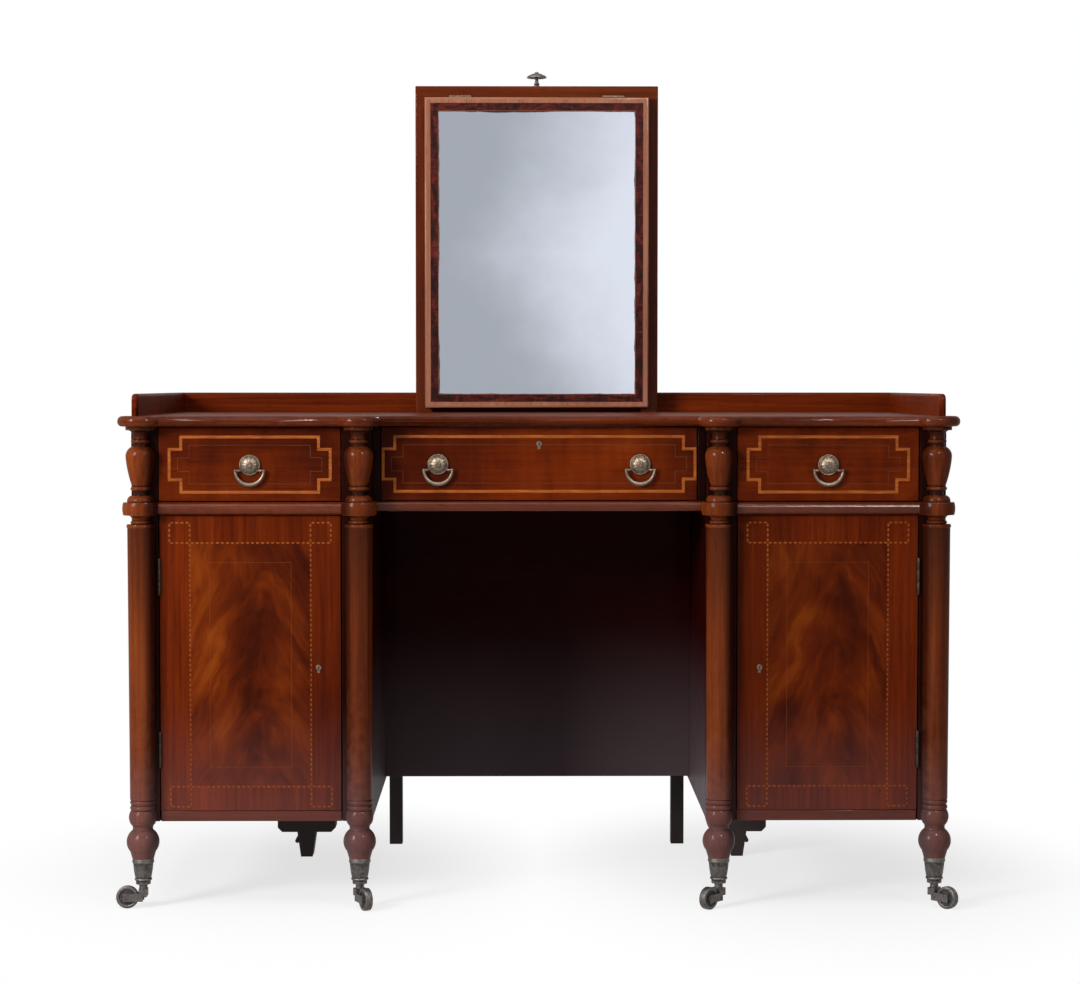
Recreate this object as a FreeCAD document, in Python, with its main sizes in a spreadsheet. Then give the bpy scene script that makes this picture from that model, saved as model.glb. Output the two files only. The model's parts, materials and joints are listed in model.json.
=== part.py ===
import FreeCAD, Part
import os
import Sketcher

# Dressing table with two pedestals, a recessed centre drawer and a rising mirror.
# Millimetres, +Z up, +Y to the back, origin on the floor under the middle of the table.

sizes = {
    # overall
    "overall_width": 1370,
    "overall_depth": 630,
    "top_height": 805,
    "top_thickness": 17,
    "turret_radius": 37,
    "top_side_overhang": 10,
    "top_front_overhang": 23,
    "top_centre_overhang": 20,
    "top_back_overhang": 2,
    "gallery_height": 36,
    "gallery_thickness": 11,
    "gallery_front_setback": 8,
    # carcase
    "column_spacing": 354,
    "front_setback": 6,
    "carcase_inset": 21,
    "panel_thickness": 18,
    "back_thickness": 10,
    "kneehole_width": 548,
    "kneehole_panel_thickness": 12,
    "stile_depth": 25,
    "outer_stile_width": 43,
    "inner_stile_width": 48,
    "centre_stile_width": 13,
    "pedestal_clearance": 141.5,
    "base_thickness": 16.5,
    "waist_height": 644,
    "waist_thickness": 20.6,
    "waist_projection": 14,
    "centre_setback": 38,
    "centre_rail_thickness": 16.6,
    "centre_rail_projection": 6,
    "shelf_height": 400,
    "shelf_thickness": 16,
    "shelf_setback": 40,
    "post_width": 24,
    "well_depth": 135,
    "well_floor_height": 150,
    "well_floor_thickness": 10,
    # turned columns: heights above the waist are those of a pattern, stretched to fit under the top
    "turning_height": 123.4,
    "cap_radius": 24,
    "cap_height": 6,
    "cap_lip": 4,
    "cap_flare_height": 12,
    "cap_flare_sag": 3,
    "neck_radius": 12.5,
    "neck_height": 6,
    "bead_height": 6,
    "bead_bulge": 2.9,
    "vase_drop": 32,
    "vase_radius": 24,
    "vase_shoulder": 19,
    "vase_shoulder_bulge": 4,
    "vase_height": 66,
    "vase_taper_sag": 1.5,
    "vase_foot_radius": 13.7,
    "stem_radius": 11.4,
    "ovolo_height": 11,
    "ovolo_radius": 22,
    "ovolo_step": 6,
    "ovolo_bulge": 2.4,
    "collar_radius": 28.5,
    "collar_bulge": 1.5,
    "collar_fit": 0.2,
    "cavetto_height": 9,
    "cavetto_sag": 2.4,
    "waist_neck_radius": 14,
    "shaft_radius": 22.2,
    "shaft_foot_radius": 20.6,
    "shaft_ring_height": 6,
    "shaft_ring_bulge": 1.2,
    "base_bead_height": 9,
    "base_bead_bulge": 2.6,
    "base_neck_radius": 18,
    "base_torus_radius": 19.5,
    "base_torus_bulge": 3.2,
    "ankle_radius": 16,
    "ankle_height": 14.5,
    "ankle_sag": 2,
    "bulb_height": 33,
    "bulb_bulge": 7.6,
    "bulb_foot_radius": 21,
    "cuff_radius": 17.5,
    "cuff_height": 82,
    # castors
    "socket_wall": 2.5,
    "socket_fit": 0.2,
    "tenon_end_height": 50,
    "tenon_end_radius": 9,
    "socket_foot_radius": 12,
    "socket_foot_height": 46,
    "socket_base_height": 40,
    "swivel_pin_radius": 4,
    "swivel_head_radius": 5.5,
    "swivel_head_height": 2,
    "swivel_head_low": 18,
    "running_fit": 0.05,
    "castor_gap": 0.3,
    "hub_radius": 6.8,
    "horn_height": 12,
    "wheel_radius": 18.25,
    "wheel_width": 12,
    "wheel_side_gap": 0.8,
    "arm_thickness": 2.5,
    "arm_width": 13,
    "axle_radius": 2.5,
    "castor_trail": 26,
    "outer_left_heading": 180,
    "inner_left_heading": -65,
    "inner_right_heading": -133,
    "outer_right_heading": -44,
    # rear feet
    "left_foot_x": -418,
    "right_foot_x": 363,
    "rear_foot_setback": 127,
    "rear_foot_depth": 40,
    "bracket_width": 105,
    "bracket_low": 45,
    "bracket_chamfer": 8,
    "foot_neck_width": 34,
    "foot_toe_width": 21,
    "foot_cusp_height": 29,
    "foot_cusp_radius": 4,
    # drawers
    "drawer_gap": 1.5,
    "drawer_run_gap": 0.3,
    "drawer_front_thickness": 20,
    "drawer_side_thickness": 10,
    "drawer_side_gap": 3,
    "drawer_side_drop": 14,
    "drawer_bottom_lift": 4,
    "drawer_bottom_thickness": 6,
    "side_drawer_length": 500,
    "centre_drawer_room": 42,
    # handles
    "handle_drop": 1.3,
    "handle_spread": 166,
    "boss_radius": 16.75,
    "boss_rim": 2.2,
    "boss_step": 2.6,
    "boss_height": 12,
    "boss_bulge": 4.2,
    "bail_pivot_drop": 9,
    "bail_standoff": 6.2,
    "bail_radius": 23.25,
    "bail_wire_radius": 2.25,
    "bail_ball_radius": 2.7,
    "bail_pin_radius": 2,
    "bail_pin_inner": 3,
    # locks
    "lock_width": 44,
    "lock_height": 38,
    "lock_depth": 12,
    "keyhole_edge": 36.5,
    "door_key_height": 394,
    "drawer_key_drop": 29,
    "escutcheon_radius": 4.5,
    "escutcheon_skirt": 9,
    "escutcheon_thickness": 1,
    # doors
    "door_gap": 2,
    "door_gap_height": 1,
    "door_thickness": 20,
    "hinge_length": 60,
    "hinge_inset": 70,
    "hinge_forward": 1,
    "knuckle_radius": 3,
    "knuckle_relief": 0.4,
    "knuckle_play": 0.2,
    "hinge_pin_radius": 1.5,
    "hinge_leaf_thickness": 1.2,
    "hinge_leaf_width": 16,
    # mirror
    "slide_width": 444,
    "slide_top": 1401,
    "slide_length": 688,
    "slide_thickness": 22,
    "slide_setback": 55,
    "slide_stile": 30,
    "slide_top_rail": 40,
    "slide_bottom_rail": 60,
    "guide_lip": 8,
    "guide_depth": 57,
    "guide_clearance": 0.5,
    "slot_clearance": 3,
    "mirror_width": 409,
    "mirror_height": 565,
    "mirror_lift": 8.6,
    "mirror_thickness": 18,
    "mirror_member": 25,
    "mirror_gap": 2.5,
    "glass_rebate": 6,
    "glass_setback": 6,
    "glass_thickness": 4,
    "backing_thickness": 5,
    "mirror_hinge_length": 40,
    "mirror_hinge_spread": 140,
    "mirror_knuckle_radius": 2.5,
    "mirror_knuckle_gap": 0.3,
    "mirror_leaf_thickness": 1,
    "knob_radius": 18,
    "knob_stem_radius": 4,
    "knob_stem_height": 15,
    "knob_cap_rim": 3,
    "knob_cap_dome": 9,
    "knob_dome_bulge": 3,
}


class Size:
    """A length that carries both its sheet formula and its present value."""

    def __init__(self, formula, value):
        self.formula = formula
        self.value = value

    def __add__(self, other):
        other = as_size(other)
        return Size(f"({self.formula} + {other.formula})", self.value + other.value)

    def __sub__(self, other):
        other = as_size(other)
        return Size(f"({self.formula} - {other.formula})", self.value - other.value)

    def __mul__(self, other):
        other = as_size(other)
        return Size(f"({self.formula} * {other.formula})", self.value * other.value)

    def __truediv__(self, other):
        other = as_size(other)
        return Size(f"({self.formula} / {other.formula})", self.value / other.value)

    def __neg__(self):
        return Size(f"(-1 * {self.formula})", -self.value)

    def __radd__(self, other):
        return as_size(other) + self

    def __rsub__(self, other):
        return as_size(other) - self

    def __rmul__(self, other):
        return as_size(other) * self


def as_size(amount):
    if isinstance(amount, Size):
        return amount
    return Size(f"({amount})", float(amount))


class Sheet:
    """The spreadsheet's cells, read by alias."""

    def __init__(self, document, values):
        self.cells = document.addObject("Spreadsheet::Sheet", "Sheet")
        self.values = values
        for row, (alias, value) in enumerate(values.items(), start=1):
            self.cells.set(f"A{row}", alias)
            self.cells.set(f"B{row}", str(value))
            self.cells.setAlias(f"B{row}", alias)
        document.recompute()

    def __getattr__(self, alias):
        return Size(f"Sheet.{alias}", float(self.values[alias]))


coincidence = 0.001
doc = FreeCAD.newDocument("dressing_table")
s = Sheet(doc, sizes)
nodes = []


# Building blocks

def bind(thing, prop, amount):
    thing.setExpression(prop, as_size(amount).formula)


def place(thing, x=0, y=0, z=0, rotation=None):
    placement = FreeCAD.Placement()
    placement.Base = FreeCAD.Vector(as_size(x).value, as_size(y).value, as_size(z).value)
    if rotation:
        placement.Rotation = rotation
    thing.Placement = placement
    for axis, amount in zip("xyz", (x, y, z)):
        bind(thing, f"Placement.Base.{axis}", amount)
    return thing


def node(thing):
    nodes.append(thing)
    return thing


def board(label, low, high):
    box = doc.addObject("Part::Box", label)
    for prop, start, end in zip(("Length", "Width", "Height"), low, high):
        bind(box, prop, as_size(end) - as_size(start))
    return place(box, *low)


def rod(label, axis, start, radius, length):
    turns = {
        "x": FreeCAD.Rotation(FreeCAD.Vector(0, 1, 0), 90),
        "y": FreeCAD.Rotation(FreeCAD.Vector(1, 0, 0), -90),
        "z": FreeCAD.Rotation(),
    }
    cylinder = doc.addObject("Part::Cylinder", label)
    bind(cylinder, "Radius", radius)
    bind(cylinder, "Height", length)
    return place(cylinder, *start, rotation=turns[axis])


def joined(label, *pieces):
    fusion = doc.addObject("Part::MultiFuse", label)
    fusion.Shapes = list(pieces)
    return fusion


def cut(label, base, *tools):
    result = base
    for number, tool in enumerate(tools, start=1):
        step = doc.addObject("Part::Cut", label if number == len(tools) else f"{label}_cut{number}")
        step.Base = result
        step.Tool = tool
        result = step
    return result


def group(label, *pieces):
    compound = doc.addObject("Part::Compound", label)
    compound.Links = list(pieces)
    return compound


def mirrored(label, source):
    image = doc.addObject("Part::Mirroring", label)
    image.Source = source
    image.Normal = FreeCAD.Vector(1, 0, 0)
    return image


def origin_plane(body, role):
    return next(feature for feature in body.Origin.OriginFeatures if feature.Role == role)


def outline_sketch(body, label, points):
    """Closed outline of (x, y, bulge) points; bulge is the rise of the arc to the next point."""
    sketch = body.newObject("Sketcher::SketchObject", f"{label}_outline")
    sketch.AttachmentSupport = [(origin_plane(body, "XZ_Plane"), "")]
    sketch.MapMode = "FlatFace"
    corners = [(as_size(x), as_size(y), as_size(bulge)) for x, y, bulge in points]
    ends = []
    for (x, y, bulge), (next_x, next_y, _) in zip(corners, corners[1:] + corners[:1]):
        start = FreeCAD.Vector(x.value, y.value, 0)
        end = FreeCAD.Vector(next_x.value, next_y.value, 0)
        if bulge.value == 0:
            edge = sketch.addGeometry(Part.LineSegment(start, end), False)
            ends.append((edge, 1, 2))
            continue
        chord = end - start
        side = FreeCAD.Vector(-chord.y, chord.x, 0).normalize()
        middle = (start + end) * 0.5 + side * bulge.value
        arc = Part.Arc(start, middle, end)
        edge = sketch.addGeometry(arc, False)
        starts_here = sketch.getPoint(edge, 1).isEqual(start, coincidence)
        ends.append((edge, 1, 2) if starts_here else (edge, 2, 1))
    for (edge, _, last), (next_edge, first, _) in zip(ends, ends[1:] + ends[:1]):
        sketch.addConstraint(Sketcher.Constraint("Coincident", edge, last, next_edge, first))
    for number, ((x, y, bulge), (edge, first, _)) in enumerate(zip(corners, ends)):
        for kind, amount in (("DistanceX", x), ("DistanceY", y)):
            if amount.value == 0:
                axis = -2 if kind == "DistanceX" else -1
                sketch.addConstraint(Sketcher.Constraint("PointOnObject", edge, first, axis))
                continue
            index = sketch.addConstraint(Sketcher.Constraint(kind, -1, 1, edge, first, amount.value))
            sketch.setExpression(f"Constraints[{index}]", amount.formula)
        if bulge.value != 0:
            next_x, next_y, _ = corners[(number + 1) % len(corners)]
            rise = bulge if bulge.value > 0 else -bulge
            across = next_x - x
            along = next_y - y
            radius = (across * across + along * along) / (8 * rise) + rise / 2
            index = sketch.addConstraint(Sketcher.Constraint("Radius", edge, radius.value))
            sketch.setExpression(f"Constraints[{index}]", radius.formula)
    return sketch


def turned(label, points, x=0, y=0, z=0, rotation=None):
    """A lathe-turned piece: the (radius, height, bulge) outline spun about its own upright axis."""
    body = doc.addObject("PartDesign::Body", label)
    sketch = outline_sketch(body, label, points)
    spin = body.newObject("PartDesign::Revolution", f"{label}_spin")
    spin.Profile = sketch
    spin.ReferenceAxis = (sketch, ["V_Axis"])
    spin.Angle = 360
    return place(body, x, y, z, rotation)


def sawn(label, points, thickness, x=0, y=0, z=0):
    """A flat outline in the upright plane, cut from a plank centred on its thickness."""
    body = doc.addObject("PartDesign::Body", label)
    sketch = outline_sketch(body, label, points)
    pad = body.newObject("PartDesign::Pad", f"{label}_plank")
    pad.Profile = sketch
    pad.Midplane = True
    bind(pad, "Length", thickness)
    return place(body, x, y, z)


def butt_hinge(label, length, radius, leaf, fixed_x, moving_x, leaf_width):
    """A butt hinge about its own Z axis, leaves towards +Y: the half with the pin, and the moving half."""
    third = length / 3
    reach = radius + s.knuckle_relief
    halves = []
    for half, leaf_x, spans in (
        ("fixed", fixed_x, ((0, third - s.knuckle_play), (2 * third + s.knuckle_play, length))),
        ("moving", moving_x, ((third, 2 * third),)),
    ):
        pieces = [board(f"{label}_{half}_leaf", (leaf_x, reach, 0), (leaf_x + leaf, leaf_width, length))]
        for number, (low, high) in enumerate(spans, start=1):
            low, high = as_size(low), as_size(high)
            name = f"{label}_{half}_{number}"
            pieces.append(rod(f"{name}_knuckle", "z", (0, 0, low), radius, high - low))
            pieces.append(board(f"{name}_tab", (leaf_x, 0, low), (leaf_x + leaf, reach + leaf, high)))
        halves.append(pieces)
    pin = rod(f"{label}_pin", "z", (0, 0, 0), s.hinge_pin_radius, length)
    bore = rod(f"{label}_bore", "z", (0, 0, 0), s.hinge_pin_radius + s.running_fit, length)
    fixed = joined(f"{label}_fixed", pin, *halves[0])
    moving = cut(f"{label}_moving", joined(f"{label}_moving_blank", *halves[1]), bore)
    return fixed, moving


# Places worked out from the driving sizes

half_width = s.overall_width / 2
outer_x = half_width - s.turret_radius
inner_x = outer_x - s.column_spacing
column_y = s.turret_radius - s.overall_depth / 2
front_y = column_y + s.front_setback
back_y = s.overall_depth / 2
carcase_back = back_y - s.top_back_overhang
carcase_x = half_width - s.carcase_inset
knee_x = s.kneehole_width / 2
under_top = s.top_height - s.top_thickness
base_z = s.pedestal_clearance
base_top = base_z + s.base_thickness
waist_top = s.waist_height + s.waist_thickness
opening_near = knee_x + s.inner_stile_width
opening_far = carcase_x - s.outer_stile_width
panel_y = front_y + s.stile_depth
room_near = knee_x + s.panel_thickness
room_far = carcase_x - s.panel_thickness
room_back = carcase_back - s.back_thickness
centre_y = column_y + s.centre_setback
centre_x = knee_x - s.centre_stile_width
rail_z = waist_top - s.centre_rail_thickness
post_y = carcase_back - s.post_width
guide_y = post_y - s.guide_depth
well_y = post_y - s.well_depth
knee_panel_y = well_y - s.kneehole_panel_thickness
well_floor_top = s.well_floor_height + s.well_floor_thickness
slide_y = carcase_back - s.slide_setback
slide_back = slide_y + s.slide_thickness
mirror_back = slide_y - s.mirror_gap
mirror_y = mirror_back - s.mirror_thickness
column_places = {
    "outer_left": -outer_x,
    "inner_left": -inner_x,
    "inner_right": inner_x,
    "outer_right": outer_x,
}


# Top with round turrets over the columns, and its gallery

def top_board():
    centre_front = centre_y - s.top_centre_overhang
    wing_front = front_y - s.top_front_overhang
    wing_side = carcase_x + s.top_side_overhang
    pieces = [
        board("top_centre", (-inner_x, centre_front, under_top), (inner_x, back_y, s.top_height)),
        board("top_left_wing", (-wing_side, wing_front, under_top), (-inner_x, back_y, s.top_height)),
        board("top_right_wing", (inner_x, wing_front, under_top), (wing_side, back_y, s.top_height)),
    ]
    for place_name, x in column_places.items():
        turret_base = (x, column_y, under_top)
        pieces.append(rod(f"{place_name}_turret", "z", turret_base, s.turret_radius, s.top_thickness))
    blank = joined("top_blank", *pieces)
    blank.Refine = True
    slot_x = s.slide_width / 2 + s.slot_clearance
    slot_back = slide_back + s.slot_clearance
    slot = board(
        "mirror_slot",
        (-slot_x, mirror_y - s.slot_clearance, under_top - s.top_thickness),
        (slot_x, slot_back, s.top_height + s.top_thickness),
    )
    node(cut("top_board", blank, slot))


def gallery():
    gallery_top = s.top_height + s.gallery_height
    back_face = carcase_back - s.gallery_thickness
    side_front = column_y + s.gallery_front_setback
    side_near = carcase_x - s.gallery_thickness
    low = s.top_height
    back = board("gallery_back", (-carcase_x, back_face, low), (carcase_x, carcase_back, gallery_top))
    left = board("gallery_left", (-carcase_x, side_front, low), (-side_near, back_face, gallery_top))
    right = mirrored("gallery_right", left)
    node(group("gallery", back, left, right))


# Four turned columns, planted on the corner stiles

def column_outline():
    stretch = (under_top - waist_top) / s.turning_height
    cap_low = under_top - stretch * s.cap_height
    flare_low = cap_low - stretch * s.cap_flare_height
    bead_top = flare_low - stretch * s.neck_height / 2
    bead_low = bead_top - stretch * s.bead_height
    vase_top = under_top - stretch * s.vase_drop
    shoulder_low = vase_top - stretch * s.vase_shoulder
    vase_low = vase_top - stretch * s.vase_height
    ring_low = vase_low - stretch * s.bead_height
    ovolo_top = waist_top + stretch * s.ovolo_height
    cavetto_low = s.waist_height - s.cavetto_height
    waist_bead_low = cavetto_low - s.bead_height
    shaft_top = waist_bead_low - s.shaft_ring_height
    shaft_low = base_top + 2 * s.base_bead_height
    ankle_low = base_z - s.ankle_height
    bulb_low = ankle_low - s.bulb_height
    tenon_radius = s.cuff_radius - s.socket_wall
    return [
        (0, under_top, 0),
        (s.cap_radius, under_top, 0),
        (s.cap_radius, cap_low, 0),
        (s.cap_radius - s.cap_lip, cap_low, -stretch * s.cap_flare_sag),
        (s.neck_radius, flare_low, 0),
        (s.neck_radius, bead_top, stretch * s.bead_bulge),
        (s.neck_radius, bead_low, 0),
        (s.neck_radius, vase_top, stretch * s.vase_shoulder_bulge),
        (s.vase_radius, shoulder_low, stretch * s.vase_taper_sag),
        (s.vase_foot_radius, vase_low, stretch * s.bead_bulge),
        (s.vase_foot_radius, ring_low, 0),
        (s.stem_radius, ring_low, 0),
        (s.stem_radius, ovolo_top, 0),
        (s.ovolo_radius - s.ovolo_step, ovolo_top, stretch * s.ovolo_bulge),
        (s.ovolo_radius, waist_top, 0),
        (s.collar_radius, waist_top, s.collar_bulge),
        (s.collar_radius, s.waist_height, 0),
        (s.shaft_radius, s.waist_height, -s.cavetto_sag),
        (s.waist_neck_radius, cavetto_low, s.bead_bulge),
        (s.waist_neck_radius, waist_bead_low, 0),
        (s.shaft_radius, waist_bead_low, s.shaft_ring_bulge),
        (s.shaft_radius, shaft_top, 0),
        (s.shaft_foot_radius, shaft_low, 0),
        (s.base_neck_radius, shaft_low, s.base_bead_bulge),
        (s.base_neck_radius, shaft_low - s.base_bead_height, s.base_bead_bulge),
        (s.base_neck_radius, base_top, 0),
        (s.base_torus_radius, base_top, s.base_torus_bulge),
        (s.base_torus_radius, base_z, -s.ankle_sag),
        (s.ankle_radius, ankle_low, s.bulb_bulge),
        (s.bulb_foot_radius, bulb_low, 0),
        (s.cuff_radius, s.cuff_height, 0),
        (tenon_radius, s.cuff_height, 0),
        (s.tenon_end_radius, s.tenon_end_height, 0),
        (0, s.tenon_end_height, 0),
    ]


def columns():
    for place_name, x in column_places.items():
        blank = turned(f"{place_name}_turning", column_outline(), x, column_y)
        flat = board(
            f"{place_name}_flat",
            (x - s.turret_radius, front_y, base_z),
            (x + s.turret_radius, column_y + s.turret_radius, s.top_height),
        )
        node(cut(f"{place_name}_column", blank, flat))


# Pedestals: built on the left and mirrored to the right

def pair(label, left):
    node(group(label, left, mirrored(f"{label}_right", left)))


def pedestals(hinge_cuts):
    outer = board("outer_stile_blank", (-carcase_x, front_y, base_z), (-opening_far, panel_y, under_top))
    outer = cut("outer_stile", outer, hinge_cuts)
    inner = board("inner_stile", (-opening_near, front_y, base_z), (-knee_x, panel_y, under_top))
    pair("corner_stiles", group("left_stiles", outer, inner))
    for label, low, high in (
        ("outer_sides", (-carcase_x, panel_y, base_z), (-room_far, carcase_back, under_top)),
        ("inner_sides", (-room_near, panel_y, base_z), (-knee_x, carcase_back, under_top)),
        ("pedestal_backs", (-room_far, room_back, base_z), (-room_near, carcase_back, under_top)),
    ):
        pair(label, board(f"{label}_left", low, high))
    hollow_radius = s.collar_radius + s.collar_bulge + s.collar_fit
    for label, low, high, nosing in (
        ("waist_boards", s.waist_height, waist_top, s.waist_projection),
        ("pedestal_bottoms", base_z, base_top, as_size(0)),
    ):
        nosing_y = front_y - nosing
        front = board(f"{label}_front", (-opening_far, nosing_y, low), (-opening_near, panel_y, high))
        floor = board(f"{label}_floor", (-room_far, panel_y, low), (-room_near, room_back, high))
        blank = joined(f"{label}_blank", front, floor)
        blank.Refine = True
        hollows = [
            rod(f"{label}_{name}_hollow", "z", (-x, column_y, low), hollow_radius, high - low)
            for name, x in (("outer", outer_x), ("inner", inner_x))
        ]
        hollowed = cut(f"{label}_left", blank, *hollows)
        pair(label, hollowed)
    shelf_top = s.shelf_height + s.shelf_thickness
    shelf_y = front_y + s.shelf_setback
    shelf = board("shelf", (-room_far, shelf_y, s.shelf_height), (-room_near, room_back, shelf_top))
    pair("cupboard_shelves", shelf)


# Kneehole, mirror well, rear posts and rear feet

def kneehole():
    rail_y = centre_y - s.centre_rail_projection
    node(board("centre_dust_board", (-knee_x, rail_y, rail_z), (knee_x, well_y, waist_top)))
    stile_back = centre_y + s.stile_depth
    stile_top = (-centre_x, stile_back, under_top)
    pair("centre_stiles", board("centre_stile", (-knee_x, centre_y, waist_top), stile_top))
    node(board("kneehole_panel", (-knee_x, knee_panel_y, s.well_floor_height), (knee_x, well_y, rail_z)))
    node(board("well_floor", (-knee_x, well_y, s.well_floor_height), (knee_x, post_y, well_floor_top)))
    post_near = knee_x - s.post_width
    well_back_y = post_y + s.back_thickness
    node(board("well_back", (-post_near, post_y, s.well_floor_height), (post_near, well_back_y, under_top)))
    pair("rear_posts", board("rear_post", (-knee_x, post_y, 0), (-post_near, carcase_back, under_top)))
    lip_x = s.slide_width / 2 - s.guide_lip
    groove_x = s.slide_width / 2 + s.guide_clearance
    block = board("guide_block", (-knee_x, guide_y, well_floor_top), (-lip_x, post_y, under_top))
    groove = board(
        "guide_groove",
        (-groove_x, slide_y - s.guide_clearance, well_floor_top),
        (-lip_x, slide_back + s.guide_clearance, under_top),
    )
    pair("mirror_guides", cut("mirror_guide", block, groove))


def rear_foot(label, x, cusp_side):
    middle = s.bracket_width / 2
    shoulder = s.bracket_low + s.bracket_chamfer
    outline = [
        (0, base_z, 0),
        (s.bracket_width, base_z, 0),
        (s.bracket_width, shoulder, 0),
        (s.bracket_width - s.bracket_chamfer, s.bracket_low, 0),
        (middle + s.foot_neck_width / 2, s.bracket_low, 0),
        (middle + s.foot_toe_width / 2, 0, 0),
        (middle - s.foot_toe_width / 2, 0, 0),
        (middle - s.foot_neck_width / 2, s.bracket_low, 0),
        (s.bracket_chamfer, s.bracket_low, 0),
        (0, shoulder, 0),
    ]
    foot_y = carcase_back - s.rear_foot_setback
    plank = sawn(f"{label}_plank", outline, s.rear_foot_depth, x - middle, foot_y)
    cusp_x = x + cusp_side * s.foot_neck_width / 2
    cusp_start = (cusp_x, foot_y - s.rear_foot_depth / 2, s.foot_cusp_height)
    cusp = rod(f"{label}_cusp", "y", cusp_start, s.foot_cusp_radius, s.rear_foot_depth)
    return joined(label, plank, cusp)


# Castors: fixed socket with its swivel pin, horn with its axle, wheel

def socket_outline():
    inner_top = s.cuff_radius - s.socket_wall + s.socket_fit
    head_top = s.swivel_head_low + s.swivel_head_height
    return [
        (0, s.tenon_end_height, 0),
        (s.tenon_end_radius + s.socket_fit, s.tenon_end_height, 0),
        (inner_top, s.cuff_height, 0),
        (s.cuff_radius, s.cuff_height, 0),
        (s.socket_foot_radius, s.socket_foot_height, 0),
        (s.hub_radius, s.socket_base_height, 0),
        (s.swivel_pin_radius, s.socket_base_height, 0),
        (s.swivel_pin_radius, head_top, 0),
        (s.swivel_head_radius, head_top, 0),
        (s.swivel_head_radius, s.swivel_head_low, 0),
        (0, s.swivel_head_low, 0),
    ]


def castor(place_name, x, heading):
    hub_low = s.swivel_head_low + s.swivel_head_height + s.castor_gap
    hub_top = s.socket_base_height - s.castor_gap
    arm_near = s.wheel_width / 2 + s.wheel_side_gap
    arm_far = arm_near + s.arm_thickness
    arm_low = s.wheel_radius - s.arm_width / 2
    arm_top = arm_low + s.arm_width
    arm_end = s.castor_trail + s.arm_width / 2
    turn = FreeCAD.Rotation(FreeCAD.Vector(0, 0, 1), heading.value)
    hub = rod(f"{place_name}_hub", "z", (0, 0, hub_low), s.hub_radius, hub_top - hub_low)
    bridge = board(
        f"{place_name}_bridge",
        (-s.hub_radius, -arm_far, hub_low),
        (s.hub_radius, arm_far, hub_low + s.horn_height),
    )
    arms = [
        board(f"{place_name}_arm{number}", (0, low, arm_low), (arm_end, low + s.arm_thickness, arm_top))
        for number, low in enumerate((-arm_far, arm_near))
    ]
    bore_radius = s.swivel_pin_radius + s.running_fit
    swivel_bore = rod(f"{place_name}_swivel_bore", "z", (0, 0, 0), bore_radius, hub_top)
    axle_start = (s.castor_trail, -arm_far, s.wheel_radius)
    axle_hole = rod(f"{place_name}_axle_hole", "y", axle_start, s.axle_radius, 2 * arm_far)
    axle = rod(f"{place_name}_axle", "y", axle_start, s.axle_radius, 2 * arm_far)
    blank = joined(f"{place_name}_horn_blank", hub, bridge, *arms)
    horn = cut(f"{place_name}_horn", blank, swivel_bore, axle_hole)
    fork = node(group(f"{place_name}_castor_horn", horn, axle))
    tread_start = (s.castor_trail, -s.wheel_width / 2, s.wheel_radius)
    tread = rod(f"{place_name}_tread", "y", tread_start, s.wheel_radius, s.wheel_width)
    bore = rod(f"{place_name}_wheel_bore", "y", tread_start, s.axle_radius + s.running_fit, s.wheel_width)
    wheel = node(cut(f"{place_name}_castor_wheel", tread, bore))
    for piece in (fork, wheel):
        place(piece, x, column_y, 0, turn)
        bind(piece, "Placement.Rotation.Angle", heading)


def castors():
    sockets = []
    for place_name, x in column_places.items():
        sockets.append(turned(f"{place_name}_socket", socket_outline(), x, column_y))
        castor(place_name, x, getattr(s, f"{place_name}_heading"))
    node(group("castor_sockets", *sockets))


# Drawers with their handles

def boss(label, x, face_y, z):
    outward = FreeCAD.Rotation(FreeCAD.Vector(1, 0, 0), 90)
    outline = [
        (0, s.boss_height, s.boss_bulge),
        (s.boss_radius - s.boss_step, s.boss_rim, 0),
        (s.boss_radius, s.boss_rim, 0),
        (s.boss_radius, 0, 0),
        (0, 0, 0),
    ]
    dome = turned(f"{label}_dome", outline, x, face_y, z, outward)
    hole_start = (x - s.boss_radius, face_y - s.bail_standoff, z - s.bail_pivot_drop)
    hole = rod(f"{label}_hole", "x", hole_start, s.bail_pin_radius + s.running_fit, 2 * s.boss_radius)
    return cut(label, dome, hole)


def bail(label, x, face_y, z):
    pivot = (x, face_y - s.bail_standoff, z - s.bail_pivot_drop)
    ring = doc.addObject("Part::Torus", f"{label}_ring")
    ring.Angle3 = 180
    bind(ring, "Radius1", s.bail_radius)
    bind(ring, "Radius2", s.bail_wire_radius)
    place(ring, *pivot, rotation=FreeCAD.Rotation(FreeCAD.Vector(1, 0, 0), -90))
    pieces = [ring]
    for side, start in ((-1, x - s.bail_radius), (1, x + s.bail_pin_inner)):
        name = f"{label}_{'left' if side < 0 else 'right'}"
        pin_length = s.bail_radius - s.bail_pin_inner
        pieces.append(rod(f"{name}_pin", "x", (start, *pivot[1:]), s.bail_pin_radius, pin_length))
        ball = doc.addObject("Part::Sphere", f"{name}_ball")
        bind(ball, "Radius", s.bail_ball_radius)
        pieces.append(place(ball, x + side * s.bail_radius, *pivot[1:]))
    node(joined(label, *pieces))


def escutcheon(label, x, face_y, z):
    front = face_y - s.escutcheon_thickness
    head = rod(f"{label}_head", "y", (x, front, z), s.escutcheon_radius, s.escutcheon_thickness)
    skirt_low = (x - s.escutcheon_radius / 2, front, z - s.escutcheon_skirt)
    skirt = board(f"{label}_skirt", skirt_low, (x + s.escutcheon_radius / 2, face_y, z))
    return joined(label, head, skirt)


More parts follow.
